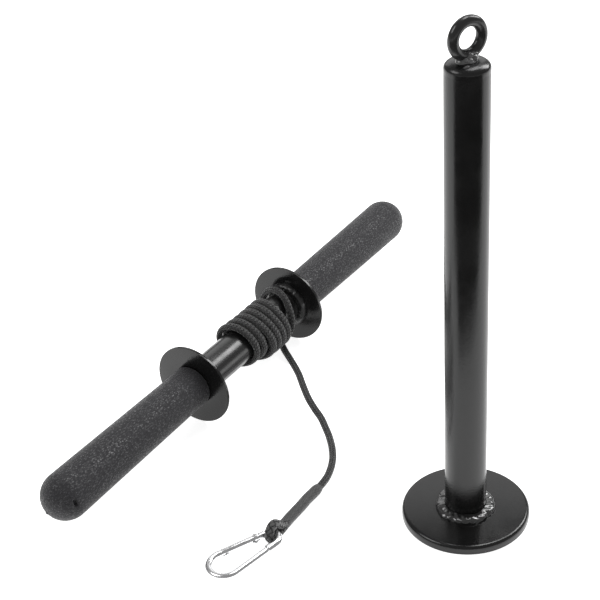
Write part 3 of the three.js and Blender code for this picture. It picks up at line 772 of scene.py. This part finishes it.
def tight_radius(turn):
    """Radius of the cord's middle where it lies tight: the tube's, then that of
    the inner layers, each off centre towards the heavy side."""
    climbed = ease(turn, *CLIMB_TURNS)
    offset = mix(WINDING_START_OFFSET, WINDING_OFFSET, climbed) * heavy_side(turn)
    return mix(WINDING_START_RADIUS, WINDING_RADIUS, climbed) + offset


def wound_path(turn, radius, shift=0.0):
    """Points at a radius round the tube, and their outward directions."""
    angle = winding_angle(turn)
    outward = stacked(0, -np.cos(angle), np.sin(angle))
    path = outward * np.asarray(radius)[:, None] + (0, BAR_Y, BAR_Z)
    path[:, 0] = WINDING_START_X + winding_advance(turn) + shift
    return path, outward


def wound_cord():
    """Outer layer. Its last part leaves the tube in a cubic curve that starts
    along the turn and ends along the free cord."""
    turn = np.arange(FIRST_TURN, TAIL_TURN, 1 / STATIONS_PER_TURN)
    radius = mix(tight_radius(turn), LOOSE_RADIUS, ease(turn, *LOOSE_TURNS))
    path, outward = wound_path(turn, radius)
    lead = from_middle(LEAD_ROUTE)
    reach = np.linalg.norm(lead[0] - path[-1])
    leave, arrive = unit(path[-1] - path[-2]) * reach, unit(lead[1] - lead[0]) * reach
    t = (np.arange(1, SMALL_STEPS + 1) / SMALL_STEPS)[:, None]
    tail = cubic(path[-1], leave, lead[0], arrive, t)
    tail_outward = mix(outward[-1], np.array([0, 0, -1.0]), t)
    rounded = ease(np.append(turn, np.full(SMALL_STEPS, WINDING_TURNS)), *ROUND_TURNS)
    points, along = swept(
        np.vstack([path, tail]),
        np.vstack([outward, tail_outward]),
        mix(WINDING_HALF_WIDTH, CORD_RADIUS, rounded),
        mix(WINDING_HALF_HEIGHT, CORD_RADIUS, rounded),
    )
    return finished(skin("wound_cord", points, along=along), "roller", "cord", "cord_winding")


def inner_turns():
    """Inner layer: the same helix half a pitch on, squeezed between the tube
    and the outer turns."""
    turn = np.arange(*UNDER_TURNS, 1 / STATIONS_PER_TURN)
    top = tight_radius(turn) - WINDING_HALF_HEIGHT - UNDER_CLEARANCE
    half = (top - UNDER_SEAT) / 2
    path, outward = wound_path(turn, UNDER_SEAT + half, WINDING_PITCH / 2)
    points, along = swept(path, outward, UNDER_HALF_WIDTH, half)
    return finished(skin("inner_cord_turns", points, along=along), "roller", "cord", "cord_inner_layers")


def stopper_knot():
    """Trefoil knot: x = sin t + 2 sin 2t, y = cos t - 2 cos 2t, z = -sin 3t."""
    t = round_angles(SMALL_STEPS * 2)
    path = stacked(np.sin(t) + 2 * np.sin(2 * t), np.cos(t) - 2 * np.cos(2 * t), -np.sin(3 * t))
    path = path * KNOT_SCALE + (KNOT_X, BAR_Y, KNOT_HEIGHT)
    heading = unit(np.roll(path, -1, axis=0) - np.roll(path, 1, axis=0))
    side = unit(np.cross(heading, (0, 0, 1)))
    up = np.cross(side, heading)
    angle = round_angles(CORD_SIDES)[None, :, None]
    ring = side[:, None] * np.cos(angle) + up[:, None] * np.sin(angle)
    points = path[:, None] + KNOT_CORD_RADIUS * ring
    knot = skin("stopper_knot", points, round_rows=True, along=lengths(path))
    return finished(knot, "roller", "cord", "cord_knot")


def free_cord(pieces):
    """The cord on the floor, which runs on inside its sleeve as far as the eye."""
    path = np.vstack([spline(from_middle(LEAD_ROUTE)), spline(from_middle(SLEEVE_ROUTE))])
    points, along = swept(path, (0, 0, 1), CORD_RADIUS, CORD_RADIUS)
    cord = finished(skin("free_cord", points, along=along), "lead", "cord", "cord_lead")


def cord_sleeve():
    """Sleeve over the doubled cord, pulled in a little at both ends."""
    path = spline(from_middle(SLEEVE_ROUTE))
    run = lengths(path)
    ends = np.minimum(run, run[-1] - run)
    radius = SLEEVE_RADIUS * mix(SLEEVE_MOUTH_SHARE, 1.0, ease(ends, 0, SLEEVE_MOUTH_LENGTH))
    points, along = swept(path, (0, 0, 1), radius, radius, cap_share=SLEEVE_END_SHARE)
    return finished(skin("cord_eye_sleeve", points, along=along), "lead", "sleeve", "cord_sleeve")


def cord_loop():
    """Eye in the upright plane of the pull: straight along the floor, an arc
    round the hook's wire, and a cubic back to the sleeve, whose end slopes are
    three times its handles. The eye is thin under the wire and thicker beyond."""
    end = from_middle(SLEEVE_ROUTE)[-1]
    contact = np.array(HOOK_CONTACT)
    pull = unit((contact - end) * (1, 1, 0))
    along_floor = np.linspace(-EYE_REACH, 0, LEG_STEPS, endpoint=False)
    low_half = mix(EYE_LEG_HEIGHT, EYE_HALF_HEIGHT, ease(along_floor, -EYE_REACH / 2, 0))
    lower = stacked(along_floor, EYE_FLOOR_GAP + low_half)
    angle = np.linspace(-pi / 2, EYE_TOP_ANGLE, SMALL_STEPS)
    half = mix(EYE_HALF_HEIGHT, EYE_FULL_HEIGHT, ease(angle, *EYE_FULL_ANGLES))
    radius = EYE_OUTER_RADIUS - half
    arc = stacked(radius * np.cos(angle), EYE_CENTRE_Z + radius * np.sin(angle))
    heading = np.array([-sin(EYE_TOP_ANGLE), cos(EYE_TOP_ANGLE)])
    foot = np.array([-EYE_REACH + EYE_LEG_STRAIGHT, EYE_UPPER_Z])
    t = (np.arange(1, LEG_STEPS + 1) / LEG_STEPS)[:, None]
    leg = cubic(arc[-1], 3 * EYE_TOP_HANDLE * heading, foot, np.array([-3 * EYE_LEG_HANDLE, 0]), t)
    plane = np.vstack([lower, arc, leg, [(-EYE_REACH, EYE_UPPER_Z)]])
    last = mix(EYE_FULL_HEIGHT, EYE_LEG_HEIGHT, ease(np.arange(LEG_STEPS + 1), LEG_STEPS / 2, LEG_STEPS))
    half = np.concatenate([low_half, half, last])
    slope = unit(np.gradient(plane, axis=0))
    upward = np.array([0, 0, 1.0])
    path = contact + pull * plane[:, :1] + upward * plane[:, 1:]
    outward = pull * slope[:, 1:] - upward * slope[:, :1]
    points, along = swept(path, outward, EYE_HALF_WIDTH, half, cap_share=EYE_END_SHARE)
    loop = skin("cord_eye_loop", points, along=along)
    return finished(loop, "lead", "cord", "cord_eye", material="eye")


def roller_tube():
    inner = TUBE_RADIUS - TUBE_WALL
    outline = filleted([
        (inner, -TUBE_END_X, TUBE_EDGE), (TUBE_RADIUS, -TUBE_END_X, TUBE_EDGE),
        (TUBE_RADIUS, TUBE_END_X, TUBE_EDGE), (inner, TUBE_END_X, TUBE_EDGE),
    ])
    tube = skin("bare_tube", turned(outline, (0, BAR_Y, BAR_Z), True), round_rows=True)
    return finished(tube, "roller", "roller_paint", "roller_tube")


def flange_disc(side, sign):
    outline = filleted([
        (BORE_RADIUS, sign * FLANGE_INNER_X, FLANGE_BORE_EDGE),
        (FLANGE_RADIUS, sign * FLANGE_INNER_X, FLANGE_EDGE),
        (FLANGE_RADIUS, sign * FLANGE_OUTER_X, FLANGE_EDGE),
        (BORE_RADIUS, sign * FLANGE_OUTER_X, FLANGE_BORE_EDGE),
    ])
    disc = skin(f"{side}_disc", turned(outline, (0, BAR_Y, BAR_Z), True), round_rows=True)
    return finished(disc, "roller", "flange_paint", f"{side}_flange")


def bead(name, inner, width, height, ripples, lump, place, along_x=False, sign=1.0):
    """Weld bead in the corner of a tube and a plate. Its section is a quarter
    of a superellipse, from the plate up to the tube. Round the seam it swells
    by the lump share of its ripples, lumps and puckers."""
    angle = round_angles(BEAD_ROUND_STEPS)[None, :]
    up = np.linspace(0, pi / 2, BEAD_SECTION_STEPS)[:, None]
    warped = angle
    for strength, waves, phase in BEAD_WARPS:
        warped = warped + strength * np.sin(waves * angle + phase)
    slanted = warped - BEAD_SLANT * np.sin(2 * up)
    first, second = BEAD_FADE_WAVES
    fade = BEAD_FADING_SHARE * np.sin(first * angle + BEAD_FADE_PHASE) * np.sin(second * angle)
    rippled = (np.abs(np.sin(slanted * ripples / 2)) - BEAD_RIPPLE_LEVEL) * (BEAD_STEADY_SHARE + fade)
    lumped = sum(
        strength * np.sin(waves * angle + phase + lean * up) for strength, waves, phase, lean in BEAD_LUMPS
    )
    waves, lean, section_waves = BEAD_PUCKER_WAVES
    puckered = BEAD_PUCKER * np.sin(waves * angle + lean * up) * np.sin(section_waves * up)
    swell = 1 + lump * (rippled + lumped + puckered)
    radius = inner + width * np.cos(up)**BEAD_POWER * swell
    rise = height * np.sin(up)**BEAD_POWER * swell
    both_ends = ((1, 1), (0, 0))
    radius = np.pad(radius, both_ends, constant_values=inner)
    rise = np.pad(rise, both_ends, constant_values=((0, height * BEAD_BACK_SHARE), (0, 0)))
    across = (radius * np.cos(angle), radius * np.sin(angle))
    parts = (sign * rise, *across) if along_x else (*across, sign * rise)
    return skin(name, stacked(*parts) + place, round_rows=True, cracks=BEAD_SHARP_ANGLE)


def flange_bead(side, sign):
    made = bead(
        f"{side}_disc_weld", BORE_RADIUS, FLANGE_BEAD_WIDTH, FLANGE_BEAD_HEIGHT, FLANGE_BEAD_RIPPLES,
        FLANGE_BEAD_LUMP_SHARE, (sign * FLANGE_INNER_X, BAR_Y, BAR_Z), along_x=True, sign=-sign,
    )
    return finished(made, "roller", "weld_paint", f"{side}_flange_weld", material="dull_weld")


def foam_grip(side, sign, marks=()):
    """Foam grip: a cone with a domed end round the tube, on a blind bore. Each
    mark sinks the dome by its depth times exp(-(up/half)^4 - (round/half)^4)."""
    dome_start = GRIP_TIP_X - GRIP_DOME_LENGTH
    blind_edge, mouth_edge = GRIP_BORE_EDGES
    bore = filleted([
        (0, GRIP_BORE_END_X, 0), (BORE_RADIUS, GRIP_BORE_END_X, blind_edge),
        (BORE_RADIUS, GRIP_ROOT_X, mouth_edge), (GRIP_ROOT_RADIUS, GRIP_ROOT_X, GRIP_ROOT_EDGE),
        (GRIP_TIP_RADIUS, dome_start, 0),
    ])
    rise = np.linspace(0, pi / 2, GRIP_DOME_STEPS)
    dome = stacked(GRIP_TIP_RADIUS * np.cos(rise), dome_start + GRIP_DOME_LENGTH * np.sin(rise))
    dome[-1, 0] = 0
    outline = np.vstack([bore[:-1], dome]) * (1, sign)
    points = turned(outline, (0, BAR_Y, BAR_Z), True, GRIP_ROUND_STEPS)
    round_angle = round_angles(GRIP_ROUND_STEPS)[None, :]
    middle = np.array([sign * dome_start, BAR_Y, BAR_Z])
    for up, around, half_up, half_round, depth in marks:
        off_up = GRIP_TIP_RADIUS * (rise[:, None] - up)
        apart = (round_angle - around + pi) % (2 * pi) - pi
        off_round = GRIP_TIP_RADIUS * np.cos(rise[:, None]) * apart
        sunk = depth * np.exp(-(off_up / half_up)**4 - (off_round / half_round)**4)
        surface = points[-GRIP_DOME_STEPS:]
        surface += unit(middle - surface) * sunk[:, :, None]
    grip = skin(f"{side}_foam_grip", points)
    finished(grip, "roller", "foam", f"{side}_grip")


# The hook's own plane in the model's frame, and the arm that its gate closes
HOOK_TURN = Matrix.Rotation(HOOK_HEADING, 3, "Z") @ Matrix.Rotation(HOOK_TILT, 3, "Y")
BIG_CENTRE_X = HOOK_LENGTH - HOOK_BIG_RADIUS
ARM_SLOPE = asin((HOOK_BIG_RADIUS - HOOK_SMALL_RADIUS) / (BIG_CENTRE_X - HOOK_SMALL_RADIUS))
ARM_START = (HOOK_SMALL_RADIUS * (1 - sin(ARM_SLOPE)), -HOOK_SMALL_RADIUS * cos(ARM_SLOPE), 0)
ARM_LENGTH = (BIG_CENTRE_X - HOOK_SMALL_RADIUS) * cos(ARM_SLOPE)
GATE_END = ARM_LENGTH - GATE_NOSE_DISTANCE


def to_hook(points):
    return points @ np.array(HOOK_TURN).T + HOOK_ORIGIN


def along_arm(points):
    """Places on the arm, which slopes out from the small end, in the plane."""
    return spun(points, -ARM_SLOPE) + ARM_START


def to_arm(points):
    return to_hook(along_arm(points))


def bend(centre_x, radius, start, end):
    angle = np.linspace(start, end, SMALL_STEPS)
    return stacked(centre_x + radius * np.cos(angle), radius * np.sin(angle), 0)


def evenly(path, step):
    """The same path with its points at even lengths."""
    run = lengths(path)
    at = np.linspace(0, run[-1], int(run[-1] / step) + 1)
    return stacked(*(np.interp(at, run, path[:, k]) for k in range(3)))


def flat_bar(name, rim, half):
    """Flat bar on the arm over a rim in the hook's plane, half as thick as
    given each way from it. Each flat side fans out from the rim's middle."""
    rim = np.asarray(rim, float)
    middle = rim.mean(axis=0)
    shares = np.array([0.0, 1.0, 1.0, 0.0])
    levels = np.array([-half, -half, half, half])
    flat = middle + (rim - middle) * shares[:, None, None]
    return skin(name, to_arm(stacked(flat[:, :, 0], flat[:, :, 1], levels[:, None])))


def tongue(name, root, tip):
    """Flat tongue on the arm, square at its root and round about its tip."""
    angle = np.linspace(-pi / 2, pi / 2, TONGUE_STEPS)
    reach = np.sign(tip - root) * TONGUE_RADIUS
    rim = stacked(tip + reach * np.cos(angle), TONGUE_RADIUS * np.sin(angle))
    rim = np.vstack([rim, [(root, TONGUE_RADIUS), (root, -TONGUE_RADIUS)]])
    return flat_bar(name, rim, TONGUE_THICKNESS / 2)


def slot_block(start, end, reach):
    """Block as thick as the gate's slots, across the arm from start to end."""
    rim = [(start, -reach), (end, -reach), (end, reach), (start, reach)]
    return flat_bar("slot_block", rim, GATE_SLOT / 2)


def cut(piece, tool, operation="DIFFERENCE"):
    """Cuts the tool out of the piece, or joins it on, and removes the tool."""
    change = piece.modifiers.new("cut", "BOOLEAN")
    change.operation = operation
    change.object = tool
    change.solver = "EXACT"
    graph = bpy.context.evaluated_depsgraph_get()
    mesh = bpy.data.meshes.new_from_object(piece.evaluated_get(graph))
    piece.modifiers.clear()
    piece.data = mesh
    bpy.data.objects.remove(tool)
    smooth(mesh)


def rod(name, radius, start, end, edge):
    """Round bar along the arm with eased ends."""
    outline = filleted([(0, start, 0), (radius, start, edge), (radius, end, edge), (0, end, 0)])
    return skin(name, to_arm(turned(outline, (0, 0, 0), True, SMALL_STEPS)))


def on_rivet(name, outline):
    """A shape turned about the gate's rivet, square to the hook's plane."""
    return skin(name, to_arm(turned(filleted(outline), (GATE_RIVET, 0, 0), False, SMALL_STEPS)))


def hook_wire():
    """Wire bent round the small end and the big end, open where the gate
    closes it, with a tongue at each side of the gap."""
    lower, upper = -pi / 2 - ARM_SLOPE, pi / 2 + ARM_SLOPE
    path = np.vstack([
        along_arm(np.array([[GATE_START - SEAT_GAP, 0, 0]])),
        bend(HOOK_SMALL_RADIUS, HOOK_SMALL_RADIUS, lower, upper - 2 * pi),
        bend(BIG_CENTRE_X, HOOK_BIG_RADIUS, upper, lower),
        along_arm(np.array([[GATE_END + SEAT_GAP, 0, 0]])),
    ])
    path = evenly(path, WIRE_STEP)
    run = lengths(path)
    swell = ease(run, *COLLAR_START) * (1 - ease(run, *COLLAR_END))
    radius = mix(WIRE_RADIUS, COLLAR_RADIUS, swell)
    points, along = swept(path, (0, 0, 1), radius, radius, cap_share=WIRE_END_SHARE)
    wire = skin("hook_wire", to_hook(points), along=along)
    cut(wire, tongue("hinge_tongue", GATE_START - WIRE_RADIUS, GATE_RIVET), "UNION")
    tip = GATE_END - NOSE_TONGUE + TONGUE_RADIUS
    cut(wire, tongue("nose_tongue", GATE_END + WIRE_RADIUS, tip), "UNION")
    return finished(wire, "hook", "plating", "hook_body")


def hook_gate():
    """Round bar with a fork for the hinge and one for the nose, bored for its
    spring."""
    reach = GATE_RADIUS * 2
    gate = rod("gate_bar", GATE_RADIUS, GATE_START, GATE_END, GATE_EDGE)
    cut(gate, slot_block(GATE_START - reach, GATE_HINGE_SLOT_END, reach))
    cut(gate, slot_block(GATE_END - GATE_NOSE_SLOT, GATE_END + reach, reach))
    cut(gate, rod("bore", GATE_BORE_RADIUS, GATE_RIVET, GATE_BORE_END, GATE_BORE_EDGE))
    drill = RIVET_RADIUS + SEAT_GAP
    hole = [(0, -reach, 0), (drill, -reach, 0), (drill, reach, 0), (0, reach, 0)]
    cut(gate, on_rivet("hole", hole))
    return finished(gate, "gate", "plating", "hook_gate")


def gate_rivet():
    seat = GATE_RADIUS + SEAT_GAP
    top = seat + RIVET_HEAD_HEIGHT
    rivet = on_rivet("rivet", [
        (0, -top, 0), (RIVET_HEAD_RADIUS, -top, RIVET_HEAD_EDGE),
        (RIVET_HEAD_RADIUS, -seat, RIVET_SEAT_EDGE), (RIVET_RADIUS, -seat, 0),
        (RIVET_RADIUS, seat, 0), (RIVET_HEAD_RADIUS, seat, RIVET_SEAT_EDGE),
        (RIVET_HEAD_RADIUS, top, RIVET_HEAD_EDGE), (0, top, 0),
    ])
    return finished(rivet, "gate", "rivet_steel", "gate_rivet")


def gate_plunger():
    plunger = rod("plunger", PLUNGER_RADIUS, *PLUNGER_ENDS, PLUNGER_EDGE)
    return finished(plunger, "gate", "rivet_steel", "gate_plunger")


def gate_spring():
    """Coil spring: a helix of fine wire along the arm."""
    angle = 2 * pi * np.linspace(0, SPRING_TURNS, SPRING_TURNS * SPRING_STEPS_PER_TURN)
    start, end = SPRING_ENDS
    outward = stacked(0, np.cos(angle), np.sin(angle))
    path = outward * (PLUNGER_RADIUS - SPRING_WIRE)
    path[:, 0] = np.linspace(start + SPRING_WIRE, end - SPRING_WIRE, len(angle))
    points, along = swept(path, outward, SPRING_WIRE, SPRING_WIRE, SPRING_SIDES, SPRING_END_SHARE)
    spring = skin("spring_coil", to_arm(points), along=along)
    return finished(spring, "gate", "rivet_steel", "gate_spring")


def pin_turned(name, node, outline, round_rows=False):
    made = skin(name, turned(outline, (PIN_X, PIN_Y, 0)), round_rows=round_rows)
    return finished(made, "loading_pin", "pin_paint", node)


def post_cap(spigot):
    """Cap on the post: a spigot down inside it, and a top whose height falls off
    with the distance from the middle: share^p + height^p = 1."""
    share = np.sin(np.linspace(pi / 2, 0, SMALL_STEPS))
    rise = (1 - share**CAP_DOME_POWER)**(1 / CAP_DOME_POWER)
    crown = CAP_TOP + CAP_CROWN
    dome = stacked(POST_RADIUS * share, crown - CAP_DOME_HEIGHT * (1 - rise))
    foot = [
        (0, POST_TOP - CAP_SPIGOT), (spigot, POST_TOP - CAP_SPIGOT), (spigot, POST_TOP),
        (POST_RADIUS, POST_TOP),
    ]
    return pin_turned("rounded_cap", "post_cap", np.vstack([foot, dome]))


def loading_pin():
    pin_turned("round_base", "base_plate", filleted([
        (0, 0, 0), (PLATE_RADIUS, 0, PLATE_FOOT_EDGE), (PLATE_RADIUS, PLATE_THICKNESS, PLATE_EDGE),
        (0, PLATE_THICKNESS, 0),
    ]))
    inner = POST_RADIUS - POST_WALL
    pin_turned("upright_post", "post_tube", filleted([
        (inner, PLATE_THICKNESS, 0), (POST_RADIUS, PLATE_THICKNESS, 0),
        (POST_RADIUS, POST_TOP, POST_EDGE), (inner, POST_TOP, 0),
    ]), round_rows=True)
    post_cap(inner - SEAT_GAP)
    weld = bead(
        "base_bead", POST_RADIUS + SEAT_GAP, BASE_BEAD_WIDTH, BASE_BEAD_HEIGHT, BASE_BEAD_RIPPLES,
        BASE_BEAD_LUMP_SHARE, (PIN_X, PIN_Y, PLATE_THICKNESS),
    )
    finished(weld, "loading_pin", "weld_paint", "base_weld")


def on_ring(points):
    """Places about the ring's own upright plane, over the post."""
    return spun(points, RING_TURN) + (PIN_X, PIN_Y, 0)


def eye_ring():
    """Torus upright on the cap: a circle carried round a circle."""
    middle = RING_OUTER_RADIUS - RING_WIRE
    round_angle = round_angles(ROUND_STEPS)[:, None]
    wire_angle = round_angles(SMALL_STEPS)[None, :]
    radius = middle + RING_WIRE * np.cos(wire_angle)
    height = CAP_TOP + RING_LIFT + RING_OUTER_RADIUS
    points = stacked(
        radius * np.cos(round_angle), RING_WIRE * np.sin(wire_angle), height + radius * np.sin(round_angle),
    )
    ring = skin("eye_ring_wire", on_ring(points), round_rows=True)
    return finished(ring, "loading_pin", "pin_paint", "eye_ring", material="ring_paint")


def ring_weld():
    """Heap of weld drops at the ring's foot. From one middle, each direction
    reaches as far as the furthest drop: for a ball of centre c and radius r
    that is d.c + sqrt((d.c)^2 - c^2 + r^2). Below the cap's top it is flat."""
    rise = np.linspace(-pi / 2, pi / 2, SMALL_STEPS * 2)[:, None]
    angle = round_angles(ROUND_STEPS)[None, :]
    ray = stacked(np.cos(rise) * np.cos(angle), np.cos(rise) * np.sin(angle), np.sin(rise))
    reach = np.zeros(ray.shape[:2])
    for place, radius in RING_DROPS:
        toward = ray @ np.array(place)
        inside = toward**2 - np.dot(place, place) + radius**2
        reach = np.maximum(reach, np.where(inside > 0, toward + np.sqrt(np.maximum(inside, 0)), 0))
    points = ray * reach[:, :, None] + RING_WELD_MIDDLE
    points[:, :, 2] = np.maximum(points[:, :, 2], 0) + (CAP_TOP - RING_WELD_SINK)
    weld = skin("ring_foot_weld", on_ring(points), cracks=DROPS_SHARP_ANGLE)
    return finished(weld, "loading_pin", "weld_paint", "eye_ring_weld", material="painted_light_weld")


def camera():
    """Camera of the photograph: its place, its heading and its small roll."""
    look = Vector(CAMERA_LOOK).normalized()
    level = Vector(CAMERA_LEVEL).normalized()
    top = level.cross(look)
    right = cos(CAMERA_ROLL) * level + sin(CAMERA_ROLL) * top
    up = -sin(CAMERA_ROLL) * level + cos(CAMERA_ROLL) * top
    data = bpy.data.cameras.new("view")
    data.lens = CAMERA_LENS
    data.sensor_width = CAMERA_SENSOR
    data.clip_start = CAMERA_NEAR
    made = placed("view", data)
    rows = [(right[k], up[k], -look[k], CAMERA_PLACE[k]) for k in range(3)]
    made.matrix_world = Matrix((*rows, (0, 0, 0, 1)))
    bpy.context.scene.camera = made


def softbox(name, direction, distance, width, height, power):
    """Rectangular light at a distance in a direction, facing the object."""
    data = bpy.data.lights.new(name, "AREA")
    data.shape = "RECTANGLE"
    data.size = width
    data.size_y = height
    data.energy = power
    made = placed(name, data)
    away = Vector(direction).normalized()
    made.location = Vector(SOFTBOX_AIM) + away * distance
    made.rotation_euler = away.to_track_quat("Z", "Y").to_euler()


def sheet_on_floor(name, corners, height, material):
    mesh = bpy.data.meshes.new(name)
    mesh.from_pydata([(x, y, height) for x, y in corners], [], [tuple(range(len(corners)))])
    mesh.materials.append(material)
    made = placed(name, mesh)
    return made


def floor_card(name, corners, glow, dims_matt):
    """Dark card on the floor that the camera doesn't see. Reflections show it,
    and it also dims the light that matt surfaces get, if asked to."""
    dark = Finish(name, roughness=1.0, specular_ior_level=0.0, emission_strength=glow)
    dark.feed(base_color=grey(CARD_TONE), emission_color=grey(1.0))
    card = sheet_on_floor(name, corners, CARD_HEIGHT, dark.material)
    card.visible_camera = False
    card.visible_diffuse = dims_matt
    card.visible_shadow = False


def round_pin(places):
    """Corners given as (distance, angle) round the loading pin, in metres."""
    return [
        (PIN_X * MM + far * cos(radians(angle)), PIN_Y * MM + far * sin(radians(angle)))
        for far, angle in places
    ]


def studio():
    """White room: even light all round, softboxes, a pale floor and its cards.
    The camera sees the room pure white, and the part gets less light from it."""
    world = bpy.data.worlds.new("white_room")
    world.use_nodes = True
    tree = world.node_tree
    background = tree.nodes["Background"]
    background.inputs["Color"].default_value = (1, 1, 1, 1)
    path = tree.nodes.new("ShaderNodeLightPath")
    level = tree.nodes.new("ShaderNodeMapRange")
    level.inputs["To Min"].default_value = ROOM_LIGHT
    tree.links.new(path.outputs["Is Camera Ray"], level.inputs["Value"])
    tree.links.new(level.outputs["Result"], background.inputs["Strength"])
    bpy.context.scene.world = world
    for name, placing in SOFTBOXES.items():
        softbox(name, *placing)
    pale = Finish("pale_floor", roughness=0.9, specular_ior_level=0.0, emission_strength=FLOOR_GLOW)
    pale.feed(base_color=grey(FLOOR_TONE), emission_color=grey(1.0))
    reach = FLOOR_REACH
    corners = [(-reach, -reach), (reach, -reach), (reach, reach), (-reach, reach)]
    sheet_on_floor("floor", corners, 0, pale.material)
    floor_card("front_card", round_pin(FRONT_CARD), 0, False)
    floor_card("under_card", UNDER_CARD, UNDER_CARD_GLOW, True)
    bpy.context.scene.view_settings.view_transform = "Standard"


camera()
studio()
gate_parts = [hook_gate(), gate_rivet(), gate_plunger(), gate_spring()]
free_cord([cord_sleeve(), cord_loop(), hook_wire(), *gate_parts])
wound_cord()
inner_turns()
stopper_knot()
roller_tube()
for side, sign in (("left", -1.0), ("right", 1.0)):
    flange_disc(side, sign)
    flange_bead(side, sign)
    foam_grip(side, sign, GRIP_MARKS if sign < 0 else ())
loading_pin()
eye_ring()
ring_weld()
